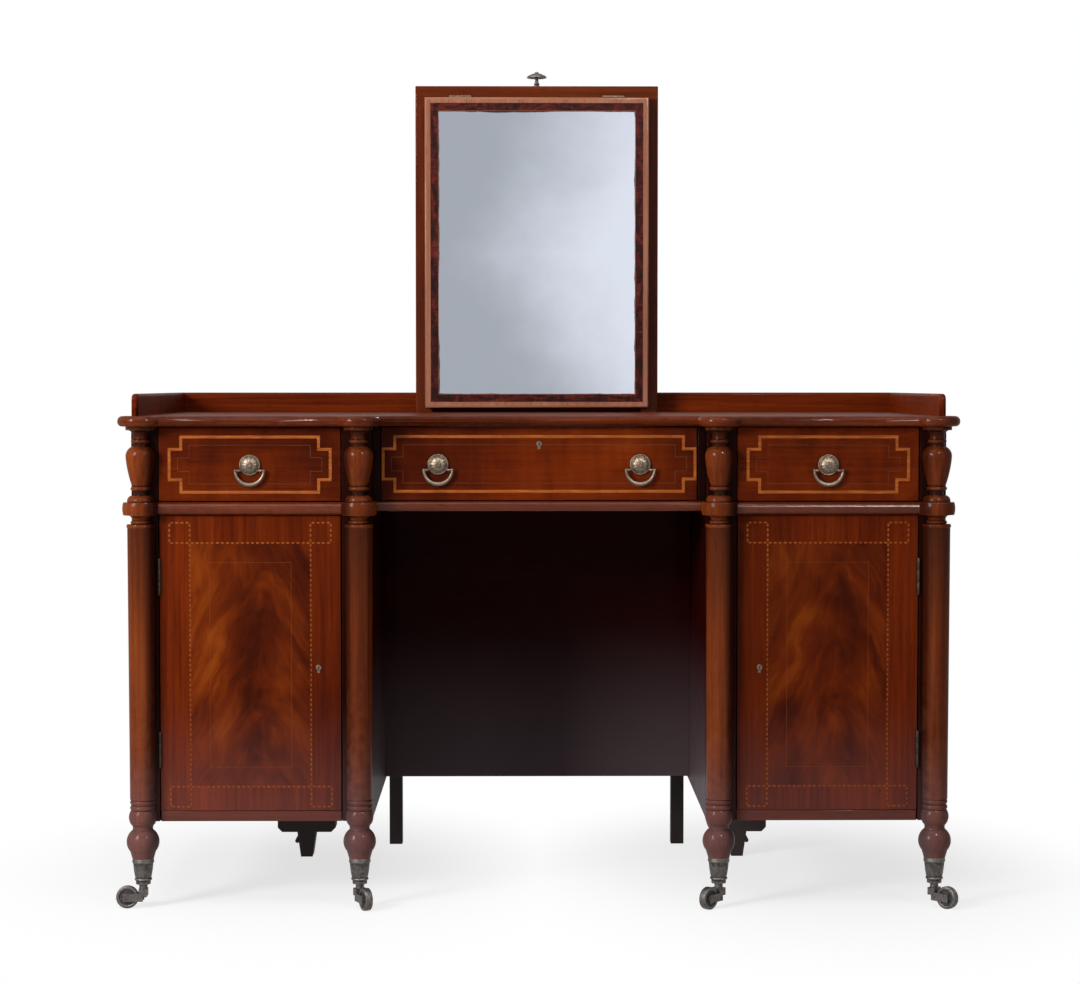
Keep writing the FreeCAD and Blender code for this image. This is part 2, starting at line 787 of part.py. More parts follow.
def drawer(name, low_x, high_x, face_y, end_y, handle_xs, key_x=None):
    inside_y = face_y + s.drawer_front_thickness
    side_low = waist_top + s.drawer_run_gap
    side_top = under_top - s.drawer_side_drop
    bottom_z = side_low + s.drawer_bottom_lift
    bottom_top = bottom_z + s.drawer_bottom_thickness
    left_x = low_x + s.drawer_side_gap
    right_x = high_x - s.drawer_side_gap
    near_x = left_x + s.drawer_side_thickness
    far_x = right_x - s.drawer_side_thickness
    node(board(
        f"{name}_drawer_front",
        (low_x + s.drawer_gap, face_y, waist_top + s.drawer_gap),
        (high_x - s.drawer_gap, inside_y, under_top - s.drawer_gap),
    ))
    left = board(f"{name}_drawer_left", (left_x, inside_y, side_low), (near_x, end_y, side_top))
    right = board(f"{name}_drawer_right", (far_x, inside_y, side_low), (right_x, end_y, side_top))
    back_y0 = end_y - s.drawer_side_thickness
    back = board(f"{name}_drawer_back", (near_x, back_y0, bottom_top), (far_x, end_y, side_top))
    node(group(f"{name}_drawer_box", left, right, back))
    node(board(f"{name}_drawer_bottom", (near_x, inside_y, bottom_z), (far_x, end_y, bottom_top)))
    handle_z = (waist_top + under_top) / 2 - s.handle_drop
    brasses = []
    for number, x in enumerate(handle_xs, start=1):
        place_name = name if len(handle_xs) == 1 else f"{name}_{('left', 'right')[number - 1]}"
        brasses.append(boss(f"{place_name}_boss", x, face_y, handle_z))
        bail(f"{place_name}_bail", x, face_y, handle_z)
    if key_x is not None:
        key_z = under_top - s.drawer_key_drop
        brasses.append(escutcheon(f"{name}_escutcheon", key_x, face_y, key_z))
        lock_top = under_top - s.drawer_gap - s.escutcheon_thickness
        brasses.append(board(
            f"{name}_lock",
            (key_x - s.lock_width / 2, inside_y, lock_top - s.lock_height),
            (key_x + s.lock_width / 2, inside_y + s.lock_depth, lock_top),
        ))
    node(group(f"{name}_drawer_brasses", *brasses))


def drawers():
    side_middle = (opening_near + opening_far) / 2
    side_end = front_y + s.side_drawer_length
    drawer("left", -opening_far, -opening_near, front_y, side_end, [-side_middle])
    drawer("right", opening_near, opening_far, front_y, side_end, [side_middle])
    handle_xs = [-s.handle_spread, s.handle_spread]
    centre_end = guide_y - s.centre_drawer_room
    drawer("centre", -centre_x, centre_x, centre_y, centre_end, handle_xs, as_size(0))


# Doors: the left one is built, the right one is its mirror image

def doors():
    door_low = base_top + s.door_gap_height
    door_high = s.waist_height - s.door_gap_height
    edge_x = opening_far - s.door_gap
    free_x = opening_near + s.door_gap
    pivot_x = opening_far - s.door_gap / 2
    pivot_y = front_y - s.hinge_forward
    leaf = s.hinge_leaf_thickness
    fixed_halves = []
    moving_halves = []
    stile_cuts = []
    door_cuts = []
    high_hinge_z = door_high - s.hinge_inset - s.hinge_length
    for name, z in (("low", door_low + s.hinge_inset), ("high", high_hinge_z)):
        fixed, moving = butt_hinge(
            f"door_hinge_{name}", s.hinge_length, s.knuckle_radius, leaf,
            -s.door_gap / 2 - leaf, s.door_gap / 2, s.hinge_leaf_width,
        )
        for half in (fixed, moving):
            place(half, -pivot_x, pivot_y, z)
        fixed_halves.append(fixed)
        moving_halves.append(moving)
        leaf_end = pivot_y + s.hinge_leaf_width
        relief = s.knuckle_radius + s.knuckle_relief
        for cuts, side, low_x in (
            (stile_cuts, "stile", -opening_far - leaf),
            (door_cuts, "door", -edge_x),
        ):
            recess_high = (low_x + leaf, leaf_end, z + s.hinge_length)
            cuts.append(board(f"{side}_{name}_recess", (low_x, pivot_y, z), recess_high))
            cuts.append(rod(f"{side}_{name}_relief", "z", (-pivot_x, pivot_y, z), relief, s.hinge_length))
    lock_y = front_y + s.door_thickness
    slab = board("door_slab", (-edge_x, front_y, door_low), (-free_x, lock_y, door_high))
    left_door = node(cut("left_door", slab, *door_cuts))
    node(mirrored("right_door", left_door))
    left_leaves = node(group("left_door_hinges", *moving_halves))
    node(mirrored("right_door_hinges", left_leaves))
    key_x = free_x + s.keyhole_edge
    lock_low = s.door_key_height - s.lock_height / 2
    case = board(
        "door_lock_case",
        (-free_x - s.drawer_gap - s.lock_width, lock_y, lock_low),
        (-free_x - s.drawer_gap, lock_y + s.lock_depth, lock_low + s.lock_height),
    )
    plate = escutcheon("door_escutcheon", -key_x, front_y, s.door_key_height)
    left_lock = node(group("left_door_lock", case, plate))
    node(mirrored("right_door_lock", left_lock))
    pair("door_hinge_plates", group("left_hinge_plates", *fixed_halves))
    return group("stile_hinge_cuts", *stile_cuts)


# Rising mirror: grooved slide frame, and the mirror hung from its top rail

def frame(label, low, high, member_x, member_low, member_top):
    outside = board(f"{label}_blank", low, high)
    opening = board(
        f"{label}_opening",
        (low[0] + member_x, low[1], low[2] + member_low),
        (high[0] - member_x, high[1], high[2] - member_top),
    )
    return outside, opening


def mirror():
    slide_x = s.slide_width / 2
    slide_low = s.slide_top - s.slide_length
    outside, opening = frame(
        "slide", (-slide_x, slide_y, slide_low), (slide_x, slide_back, s.slide_top),
        s.slide_stile, s.slide_bottom_rail, s.slide_top_rail,
    )
    node(cut("mirror_slide", outside, opening))
    knob_rim = s.knob_stem_height + s.knob_cap_rim
    knob_outline = [
        (0, knob_rim + s.knob_cap_dome, s.knob_dome_bulge),
        (s.knob_radius, knob_rim, 0),
        (s.knob_radius, s.knob_stem_height, 0),
        (s.knob_stem_radius, s.knob_stem_height, 0),
        (s.knob_stem_radius, 0, 0),
        (0, 0, 0),
    ]
    node(turned("lift_knob", knob_outline, 0, slide_y + s.slide_thickness / 2, s.slide_top))
    mirror_x = s.mirror_width / 2
    mirror_low = s.top_height + s.mirror_lift
    mirror_top = mirror_low + s.mirror_height
    outside, opening = frame(
        "mirror", (-mirror_x, mirror_y, mirror_low), (mirror_x, mirror_back, mirror_top),
        s.mirror_member, s.mirror_member, s.mirror_member,
    )
    hidden = s.mirror_member - s.glass_rebate
    glass_y = mirror_y + s.glass_setback
    glass_back = glass_y + s.glass_thickness
    rebate_low = (-mirror_x + hidden, mirror_low + hidden)
    rebate_high = (mirror_x - hidden, mirror_top - hidden)

    def layer(label, near, far):
        return board(label, (rebate_low[0], near, rebate_low[1]), (rebate_high[0], far, rebate_high[1]))

    node(cut("mirror_frame", outside, opening, layer("mirror_rebate", glass_y, mirror_back)))
    node(layer("mirror_glass", glass_y, glass_back))
    node(layer("mirror_backing", glass_back, glass_back + s.backing_thickness))
    mirror_hinges(mirror_top)


def mirror_hinges(mirror_top):
    radius = s.mirror_knuckle_radius
    leaf = s.mirror_leaf_thickness
    pivot_y = slide_y - radius - s.knuckle_play
    pivot_z = mirror_top + radius + s.mirror_knuckle_gap
    downward = FreeCAD.Rotation(
        FreeCAD.Vector(0, -1, 0), FreeCAD.Vector(0, 0, -1), FreeCAD.Vector(1, 0, 0), "ZXY"
    )
    fixed_halves = []
    moving_halves = []
    for name, side in (("left", -1), ("right", 1)):
        fixed, moving = butt_hinge(
            f"mirror_hinge_{name}", s.mirror_hinge_length, radius, leaf,
            pivot_y - slide_y, pivot_y - mirror_back - leaf, s.hinge_leaf_width,
        )
        hinge_x = side * s.mirror_hinge_spread - s.mirror_hinge_length / 2
        for half in (fixed, moving):
            place(half, hinge_x, pivot_y, pivot_z, downward)
        fixed_halves.append(fixed)
        moving_halves.append(moving)
    node(group("mirror_hinge_plates", *fixed_halves))
    node(group("mirror_hinge_leaves", *moving_halves))


top_board()
gallery()
columns()
hinge_cuts = doors()
pedestals(hinge_cuts)
kneehole()
node(group(
    "rear_feet",
    rear_foot("left_rear_foot", s.left_foot_x, -1),
    rear_foot("right_rear_foot", s.right_foot_x, 1),
))
castors()
drawers()
mirror()

doc.recompute()
for thing in doc.Objects:
    if "Invalid" in thing.State or "Error" in thing.State:
        raise RuntimeError(f"{thing.Label}: {thing.State}")
for piece in nodes:
    if piece.Shape.isNull() or not piece.Shape.isValid():
        raise RuntimeError(f"{piece.Label} has no valid shape")

os.makedirs("parts", exist_ok=True)
for piece in nodes:
    piece.Shape.exportStep(f"parts/{piece.Label}.step")
    print(f"{piece.Label}: {len(piece.Shape.Solids)} solid(s), {piece.Shape.Volume:.0f} mm3")
print(f"{len(nodes)} nodes")
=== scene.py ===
import json
import math

import bmesh
import bpy
from mathutils import Matrix, Vector

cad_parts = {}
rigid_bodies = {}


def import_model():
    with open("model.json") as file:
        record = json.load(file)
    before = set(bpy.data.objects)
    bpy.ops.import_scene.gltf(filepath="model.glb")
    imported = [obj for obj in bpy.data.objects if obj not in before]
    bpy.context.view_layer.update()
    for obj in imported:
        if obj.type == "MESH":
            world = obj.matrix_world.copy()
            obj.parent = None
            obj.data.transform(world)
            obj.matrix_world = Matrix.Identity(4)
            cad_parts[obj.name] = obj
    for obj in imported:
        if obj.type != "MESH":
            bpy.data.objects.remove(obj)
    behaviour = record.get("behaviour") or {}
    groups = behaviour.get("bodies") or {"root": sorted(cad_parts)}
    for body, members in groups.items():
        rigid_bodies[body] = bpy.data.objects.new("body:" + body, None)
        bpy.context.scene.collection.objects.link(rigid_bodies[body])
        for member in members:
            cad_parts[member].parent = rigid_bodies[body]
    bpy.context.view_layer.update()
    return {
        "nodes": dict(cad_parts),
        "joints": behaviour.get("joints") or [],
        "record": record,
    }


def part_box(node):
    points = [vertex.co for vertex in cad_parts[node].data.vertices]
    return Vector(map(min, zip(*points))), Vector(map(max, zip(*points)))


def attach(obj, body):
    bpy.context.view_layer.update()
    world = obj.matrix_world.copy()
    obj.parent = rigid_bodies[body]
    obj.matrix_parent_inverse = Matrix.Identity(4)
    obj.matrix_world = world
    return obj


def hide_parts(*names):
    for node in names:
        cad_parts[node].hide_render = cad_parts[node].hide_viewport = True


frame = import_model()
mm = 0.001
tiny = 0.02 * mm

# Places that several pieces share
jointNamed = {joint["name"]: joint for joint in frame["joints"]}
columnPlaces = {}
for place in ("outer_left", "inner_left", "inner_right", "outer_right"):
    columnPlaces[place] = jointNamed[f"{place}_castor_swivel"]["pos_m"][:2]
innerX, outerX = columnPlaces["inner_right"][0], columnPlaces["outer_right"][0]
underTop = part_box("top_board")[0][2]


# Node trees written as expressions

def maths(operation, reflected=False):
    def joined(wire, other=0):
        first, second = (other, wire) if reflected else (wire, other)
        return wire.tree.node("ShaderNodeMath", {"operation": operation}, {0: first, 1: second})
    return joined


class Wire:
    def __init__(self, tree, socket):
        self.tree = tree
        self.socket = socket

    __add__ = maths("ADD")
    __radd__ = maths("ADD", reflected=True)
    __sub__ = maths("SUBTRACT")
    __rsub__ = maths("SUBTRACT", reflected=True)
    __mul__ = maths("MULTIPLY")
    __rmul__ = maths("MULTIPLY", reflected=True)
    __truediv__ = maths("DIVIDE")
    __pow__ = maths("POWER")
    __lt__ = maths("LESS_THAN")
    __abs__ = maths("ABSOLUTE")
    least = maths("MINIMUM")
    most = maths("MAXIMUM")


class Tree:
    def __init__(self, nodeTree):
        self.nodes = nodeTree.nodes
        self.links = nodeTree.links
        self.nodes.clear()

    def node(self, kind, settings=None, sockets=None, output=0):
        made = self.nodes.new(kind)
        for key, value in (settings or {}).items():
            if key == "stops":
                ramp = made.color_ramp.elements
                while len(ramp) < len(value):
                    ramp.new(1)
                for stop, (place, colour) in zip(ramp, value):
                    stop.position = place
                    stop.color = (*colour, 1)
            else:
                setattr(made, key, value)
        for key, value in (sockets or {}).items():
            if isinstance(value, Wire):
                self.links.new(value.socket, made.inputs[key])
            else:
                made.inputs[key].default_value = value
        return Wire(self, made.outputs[output]) if made.outputs else None

    def objectPlace(self, scale=(1, 1, 1), shift=(0, 0, 0)):
        place = self.node("ShaderNodeTexCoord", output="Object")
        return self.node("ShaderNodeMapping", None, {"Vector": place, "Location": shift, "Scale": scale})

    def noise(self, place, scale, detail=2, roughness=0.5, distortion=0):
        sockets = {"Vector": place, "Scale": scale, "Detail": detail,
                   "Roughness": roughness, "Distortion": distortion}
        return self.node("ShaderNodeTexNoise", None, sockets)

    def cloud(self, scale, *character):
        return self.noise(self.objectPlace(), scale, *character)

    def streak(self, grain, stretch, scale, *character):  # noise drawn out along the grain
        return self.noise(self.objectPlace(grainScale(grain, stretch)), scale, *character)

    def axes(self, shift=(0, 0, 0)):
        place = self.objectPlace(shift=shift)
        return [self.node("ShaderNodeSeparateXYZ", None, {0: place}, output=i) for i in range(3)]

    def point(self, x, y, z):
        return self.node("ShaderNodeCombineXYZ", None, {0: x, 1: y, 2: z})

    def ease(self, value, low, high, start=0, end=1):
        sockets = {"Value": value, "From Min": low, "From Max": high, "To Min": start, "To Max": end}
        return self.node("ShaderNodeMapRange", {"interpolation_type": "SMOOTHSTEP"}, sockets)

    def ramp(self, value, stops):
        return self.node("ShaderNodeValToRGB", {"stops": stops}, {0: value})

    def blend(self, amount, first, second):
        sockets = {0: amount, 6: first, 7: second}  # 6 and 7 are the node's colour inputs
        return self.node("ShaderNodeMix", {"data_type": "RGBA"}, sockets, output=2)

    def wear(self):
        return self.node("ShaderNodeAttribute", {"attribute_name": "wear"}, output="Fac")

    def seesBackdrop(self):  # 1 for the rays that look at the studio instead of lighting from it
        camera, glossy, through = (self.node("ShaderNodeLightPath", output=f"Is {kind} Ray")
                                   for kind in ("Camera", "Glossy", "Transmission"))
        return camera.most(glossy).most(through)

    def bump(self, height, strength, distance, under=None):
        sockets = {"Height": height, "Strength": strength, "Distance": distance}
        if under:
            sockets["Normal"] = under
        return self.node("ShaderNodeBump", None, sockets)


finishes = {}


def addFinish(name, paint):
    material = bpy.data.materials.new(name)
    material.use_nodes = True
    tree = Tree(material.node_tree)
    shader = tree.node("ShaderNodeBsdfPrincipled", None, paint(tree))
    tree.node("ShaderNodeOutputMaterial", None, {"Surface": shader})
    finishes[name] = material


# Timber: base tones, streaks along the grain, open pores and a polish that wears at the arrises

timber = {
    "streakScale": 150, "streakStretch": 38, "toneScale": 11, "toneStretch": 7, "toneShare": 0.55,
    "poreScale": 900, "poreStretch": 26, "poreOpen": (0.60, 0.72), "poreDirt": 0.55, "poreDepth": 0.05 * mm,
    "patchScale": 60, "smearScale": 24, "swellScale": 22, "swellStretch": 3, "swellDepth": 0.25 * mm,
    "stainScale": 7, "stainAmount": 0.35, "roughGrain": 0.12 * mm, "darkest": 0.85,
    "cloudScale": 9, "cloudStretch": 2, "cloudAmount": 0.5,
    "dirt": (0.008, 0.003, 0.002, 1), "rubbed": (0.26, 0.085, 0.035, 1),
    "deep": (0.016, 0.0016, 0.0008, 1),
}
# painted reflection of the pale floor near the floor: its colour, the height below which it is full, the
# height above which it is gone, its strength
frontFloorSheen = {"colour": (0.125, 0.066, 0.064, 1), "low": 0.12, "high": 0.36, "amount": 0.30}
footFloorSheen = {"colour": (0.130, 0.088, 0.096, 1), "low": 0.09, "high": 0.30, "amount": 0.45}
kneeholeFloorSheen = {"colour": (0.115, 0.088, 0.096, 1), "low": 0.13, "high": 0.46, "amount": 0.55}
mahoganyTones = [(0.26, (0.022, 0.0034, 0.0012)), (0.44, (0.070, 0.0095, 0.0016)),
                 (0.60, (0.115, 0.0175, 0.0020)), (0.78, (0.180, 0.0380, 0.0045))]
redTones = [(0.28, (0.030, 0.0038, 0.0010)), (0.44, (0.085, 0.0096, 0.0012)),
            (0.58, (0.145, 0.0180, 0.0016)), (0.74, (0.230, 0.0420, 0.0040))]
turnedTones = [(0.28, (0.038, 0.0064, 0.0015)), (0.44, (0.095, 0.0160, 0.0030)),
               (0.58, (0.155, 0.0300, 0.0056)), (0.74, (0.240, 0.0580, 0.0125))]
# painted shade: the stiles between columns and doors are toned near black for the shade that falls there
shadedStileTones = [(0.28, (0.004, 0.0006, 0.0004)), (0.50, (0.011, 0.0014, 0.0006)),
              (0.76, (0.026, 0.0042, 0.0011))]
darkTones = [(0.3, (0.0050, 0.0022, 0.0020)), (0.5, (0.0105, 0.0040, 0.0034)),
             (0.75, (0.0210, 0.0085, 0.0062))]
# painted shade: the kneehole's mahogany toned near black for the shade in the recess
shadedKneeholeTones = [(0.3, (0.0120, 0.0008, 0.0008)), (0.5, (0.0160, 0.0010, 0.0010)),
                 (0.75, (0.0220, 0.0016, 0.0012))]
# pale frame wood, lightened further as a painted highlight of the frame's rounded edge
frameTonesAndHighlight = [(0.28, (0.190, 0.0620, 0.0330)), (0.46, (0.300, 0.1150, 0.0650)),
              (0.60, (0.370, 0.1550, 0.0930)), (0.78, (0.450, 0.2100, 0.1350))]
oakTones = [(0.28, (0.150, 0.082, 0.036)), (0.50, (0.270, 0.160, 0.075)), (0.75, (0.380, 0.245, 0.130))]
boxwoodTones = [(0.3, (0.230, 0.052, 0.009)), (0.5, (0.340, 0.088, 0.015)), (0.7, (0.430, 0.130, 0.028))]
hairlineTones = [(0.3, (0.06, 0.012, 0.006)), (0.7, (0.16, 0.045, 0.018))]


def grainScale(grain, stretch):
    return tuple(1 / stretch if axis in grain else 1 for axis in "xyz")


def timberColour(tree, tones, grain, figure=None):
    def grainNoise(layer, *character):
        return tree.streak(grain, timber[f"{layer}Stretch"], timber[f"{layer}Scale"], *character)

    streaks = grainNoise("streak", 5, 0.62)
    broad = grainNoise("tone", 3, 0.55, 0.6)
    pores = tree.ease(grainNoise("pore", 2, 0.5), *timber["poreOpen"])
    share = timber["toneShare"]
    tone = broad * share + streaks * (1 - share)
    if figure is not None:
        tone = tone * share + figure * (1 - share)
    colour = tree.blend(pores * timber["poreDirt"], tree.ramp(tone, tones), timber["dirt"])
    return colour, streaks, pores


def withPaintedFloorSheen(tree, colour, bloom):  # painted reflection of the pale floor: the polish turns greyer towards the floor
    x, y, z = tree.axes()
    amount = tree.ease(z, bloom["high"], bloom["low"], 0, bloom["amount"])
    return tree.blend(amount, colour, bloom["colour"])


def endToneAndShade(low, high, shades):  # a panel's darker ends: left, middle, right; the veneer's tone together with painted shade of the uneven light
    left, middle, right = shades

    def amountOf(tree):
        x, y, z = tree.axes((-(low + high) / 2, 0, 0))
        across = x / ((high - low) / 2)
        clouds = tree.streak("z", timber["cloudStretch"], timber["cloudScale"], 3, 0.5, 0.5) - 0.5
        slope, bend = (right - left) / 2, (right + left) / 2 - middle
        amount = across * slope + across * across * bend + middle + clouds * timber["cloudAmount"]
        return amount.most(0).least(timber["darkest"])
    return amountOf


# painted shade on the columns: how far it reaches from each column's side, and how deep it goes under the top
columnShadePaint = {"columnRadius": 22 * mm, "start": 0.25, "full": 0.9, "besideDoor": 0.82,
          "neckDrop": 32 * mm, "capitalDrop": 12 * mm, "atCapital": 0.8}


def paintedColumnShade(tree):  # painted shade: darker where a column stands beside a door or drawer, and under the top
    x, y, z = tree.axes()
    fromDoor = abs(abs(x) - (innerX + outerX) / 2)
    towardsDoor = ((outerX - innerX) / 2 - fromDoor) / columnShadePaint["columnRadius"]
    besideDoor = tree.ease(towardsDoor, columnShadePaint["start"], columnShadePaint["full"], 0, columnShadePaint["besideDoor"])
    neck, capital = underTop - columnShadePaint["neckDrop"], underTop - columnShadePaint["capitalDrop"]
    return besideDoor.most(tree.ease(z, neck, capital, 0, columnShadePaint["atCapital"]))


def polished(tones, grain, coat=0.03, coatRoughness=0.09, roughness=0.48, rubbed=0.25,
             figureOf=None, shadeOf=None, bloom=frontFloorSheen):
    def paint(tree):
        figure = figureOf(tree) if figureOf else None
        colour, streaks, pores = timberColour(tree, tones, grain, figure)
        # painted shade, with some veneer tone on the panels, blended towards a deep colour
        if shadeOf:
            colour = tree.blend(shadeOf(tree), colour, timber["deep"])
        wear = tree.wear()
        patchy = tree.ease(tree.cloud(timber["patchScale"], 3, 0.6), 0.35, 0.65)
        colour = tree.blend(wear.most(0) * patchy * rubbed, colour, timber["rubbed"])
        # the quirks of turned work darken: grime and painted shade
        colour = tree.blend((wear * -1).most(0).least(timber["darkest"]), colour, timber["dirt"])
        # painted floor reflection towards the floor
        colour = withPaintedFloorSheen(tree, colour, bloom)
        smears = tree.cloud(timber["smearScale"], 4, 0.6)
        swell = tree.streak(grain, timber["swellStretch"], timber["swellScale"], 2)
        grainBump = tree.bump(streaks - pores * 0.7, 0.35, timber["poreDepth"])
        return {
            "Base Color": colour,
            "Roughness": smears * 0.16 + (roughness - 0.08) + pores * 0.2,
            "Specular IOR Level": 0.01,
            "Coat Weight": (smears + 0.5) * coat * (1 - pores * 0.6),
            "Coat Roughness": coatRoughness,
            "Normal": tree.bump(swell, 0.25, timber["swellDepth"], grainBump),
        }
    return paint


def dull(tones, grain, roughness=0.62):
    def paint(tree):
        colour, streaks, pores = timberColour(tree, tones, grain)
        stain = tree.ease(tree.cloud(timber["stainScale"], 4, 0.6), 0.45, 0.75)
        colour = tree.blend(stain * timber["stainAmount"], colour, timber["dirt"])
        return {
            "Base Color": colour,
            "Roughness": streaks * 0.25 + (roughness - 0.12),
            "Specular IOR Level": 0.3,
            "Normal": tree.bump(streaks - pores, 0.5, timber["roughGrain"]),
        }
    return paint


# Crotch-cut veneer: strokes that lean away from a wandering spine up the middle of each door

doorFigure = {"wander": 0.09, "softness": 0.02, "spineScale": 4.5, "spineReach": 0.06, "spineDark": 0.07,
              "warpScale": 12, "warp": 0.05, "halves": 0.05, "halfShift": 0.06, "patchScale": 8,
              "strokeScale": 95, "strokeStretch": 10, "plumeScale": 21, "plumeStretch": 3.2}


def feather(centreX, centreZ, lean):
    def figureOf(tree):
        d = doorFigure
        x, y, z = tree.axes((-centreX, 0, -centreZ))
        spine = (tree.noise(tree.point(0.3, 0.7, z), d["spineScale"], 2) - 0.5) * d["wander"]
        warp = (tree.cloud(d["warpScale"], 3) - 0.5) * d["warp"]
        side = ((x - spine) ** 2 + d["softness"] ** 2) ** 0.5 + warp
        across = side * math.cos(lean) - z * math.sin(lean)
        along = side * math.sin(lean) + z * math.cos(lean)
        # the two halves take other strokes, so that they don't mirror each other
        half = tree.ease(x - spine, -d["halves"], d["halves"], 0, d["halfShift"])
        strokePlace = tree.point(across, along / d["strokeStretch"], half)
        strokes = tree.noise(strokePlace, d["strokeScale"], 4, 0.6)
        plumePlace = tree.point(across, along / d["plumeStretch"], half)
        plumes = tree.noise(plumePlace, d["plumeScale"], 3, 0.55, 0.8)
        patches = tree.noise(tree.objectPlace((1, 1, 0.6)), d["patchScale"], 3, 0.5, 0.6)
        dark = tree.ease(abs(x - spine), 0, d["spineReach"], d["spineDark"], 0)
        return strokes * 0.30 + plumes * 0.60 + patches * 0.6 - 0.25 - dark
    return figureOf


def mottle(tree):  # short upright bars with broad clouds
    bars = tree.noise(tree.objectPlace((1, 1, 0.22)), 26, 3, 0.55, 0.9)
    cloud = tree.cloud(6, 3, 0.5, 0.5)
    return bars * 0.6 + cloud * 1.1 - 0.35


rosewoodTones = [(0.36, (0.006, 0.003, 0.003)), (0.48, (0.030, 0.004, 0.003)),
                 (0.58, (0.095, 0.010, 0.005)), (0.72, (0.150, 0.030, 0.012))]
banding = {"blotchScale": 34, "blotchStretch": 0.45, "lineScale": 240, "lineStretch": 14, "lineShare": 0.28,
           "lineDepth": 0.05 * mm}


def rosewood(grain):
    def paint(tree):
        blotch = tree.streak(grain, banding["blotchStretch"], banding["blotchScale"], 4, 0.62, 1.1)
        lines = tree.streak(grain, banding["lineStretch"], banding["lineScale"], 3, 0.6)
        share = banding["lineShare"]
        return {
            "Base Color": tree.ramp(blotch * (1 - share) + lines * share, rosewoodTones),
            "Roughness": lines * 0.2 + 0.3,
            "Specular IOR Level": 0.05,
            "Coat Weight": blotch * 0.2,
            "Coat Roughness": 0.12,
            "Normal": tree.bump(lines, 0.3, banding["lineDepth"]),
        }
    return paint


stringing = {"lineScale": 420, "lineStretch": 20, "lineDepth": 0.04 * mm, "ageScale": 45, "ageAmount": 0.5,
             "aged": (0.15, 0.030, 0.006, 1), "faded": (0.125, 0.022, 0.004, 1),
             "fadeTop": 0.62, "fadeFull": 0.50, "fadeLeast": 0.38}


def boxwood(grain, faint=0):  # a faint line fades further down the door
    def paint(tree):
        lines = tree.streak(grain, stringing["lineStretch"], stringing["lineScale"], 3, 0.6)
        age = tree.ease(tree.cloud(stringing["ageScale"], 4, 0.65), 0.42, 0.72)
        colour = tree.blend(age * stringing["ageAmount"], tree.ramp(lines, boxwoodTones), stringing["aged"])
        if faint:
            x, y, z = tree.axes()
            fade = tree.ease(z, stringing["fadeTop"], stringing["fadeFull"], stringing["fadeLeast"], faint)
            colour = tree.blend(fade, colour, stringing["faded"])
        return {
            "Base Color": colour,
            "Roughness": lines * 0.2 + 0.35,
            "Specular IOR Level": 0.05,
            "Coat Weight": age * 0.1,
            "Coat Roughness": 0.12,
            "Normal": tree.bump(lines, 0.25, stringing["lineDepth"]),
        }
    return paint


brassSkin = {"cloudScale": 190, "clouds": (0.36, 0.68), "speckScale": 900, "specks": (0.52, 0.70),
             "speckShare": 0.25, "wornBright": 0.7, "pitDepth": 0.12 * mm}


def agedBrass(bright, shade):
    def paint(tree):
        cloud = tree.cloud(brassSkin["cloudScale"], 4, 0.65)
        specks = tree.ease(tree.cloud(brassSkin["speckScale"], 3, 0.6), *brassSkin["specks"])
        share = brassSkin["speckShare"]
        dulled = tree.ease(cloud, *brassSkin["clouds"]) * (1 - share) + specks * share
        tarnish = (dulled - tree.wear() * brassSkin["wornBright"]).most(0).least(1)
        return {
            "Base Color": tree.blend(tarnish, (*bright, 1), (*shade, 1)),
            "Metallic": 1 - tarnish * 0.35,
            "Roughness": tarnish * 0.18 + 0.46,
            "Normal": tree.bump(cloud * 0.7 + specks * 0.3, 0.3, brassSkin["pitDepth"]),
        }
    return paint


# painted shade of a keyhole's opening
def keyholeShade(tree):
    shadowMottle = tree.cloud(300, 3)
    return {"Base Color": tree.ramp(shadowMottle, [(0.3, (0.002, 0.002, 0.002)), (0.7, (0.012, 0.009, 0.008))]),
            "Roughness": shadowMottle * 0.2 + 0.5, "Specular IOR Level": 0.2}


# Mesh helpers: every piece is made in place, rides on its body and may stand for a node

def finishPiece(name, bm, finish, body, replaced=(), smooth=None):
    mesh = bpy.data.meshes.new(name)
    if smooth is not None:
        for face in bm.faces:
            face.smooth = smooth
    bm.to_mesh(mesh)
    bm.free()
    mesh.materials.append(finishes[finish])
    piece = bpy.data.objects.new(name, mesh)
    bpy.context.scene.collection.objects.link(piece)
    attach(piece, body)
    if replaced:
        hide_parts(*replaced)
    return piece


bodyOf = {}
for bodyName, bodyNodes in frame["record"]["behaviour"]["bodies"].items():
    for nodeName in bodyNodes:
        bodyOf[nodeName] = bodyName


def camelName(node):
    first, *rest = node.split("_")
    return first + "".join(word.capitalize() for word in rest)


def dressNode(node, bm, finish, smooth=None):  # a piece that stands for one node and takes its name
    return finishPiece(camelName(node), bm, finish, bodyOf[node], [node], smooth)


def cadCopy(node):
    bm = bmesh.new()
    bm.from_mesh(frame["nodes"][node].data)
    bmesh.ops.remove_doubles(bm, verts=bm.verts, dist=0.002 * mm)
    bmesh.ops.dissolve_limit(bm, angle_limit=math.radians(0.4), verts=bm.verts, edges=bm.edges)
    smoothCurves(bm)
    return bm


def wearOf(bm):
    return bm.verts.layers.float.get("wear") or bm.verts.layers.float.new("wear")


def roundArrises(bm, chosen, width, segments, wearAmount, clamp=True):
    wear = wearOf(bm)
    made = bmesh.ops.bevel(bm, geom=chosen, offset=width, offset_type="OFFSET", affect="EDGES",
                           segments=segments, profile=0.5, material=-1, clamp_overlap=clamp)
    rounded = set(made["faces"])
    for face in rounded:
        face.smooth = True
        for vert in face.verts:
            if rounded.issuperset(vert.link_faces):
                vert[wear] = wearAmount


def sharpEdges(bm, angle=math.radians(28)):
    return [e for e in bm.edges if len(e.link_faces) == 2 and e.is_convex and e.calc_face_angle() > angle]


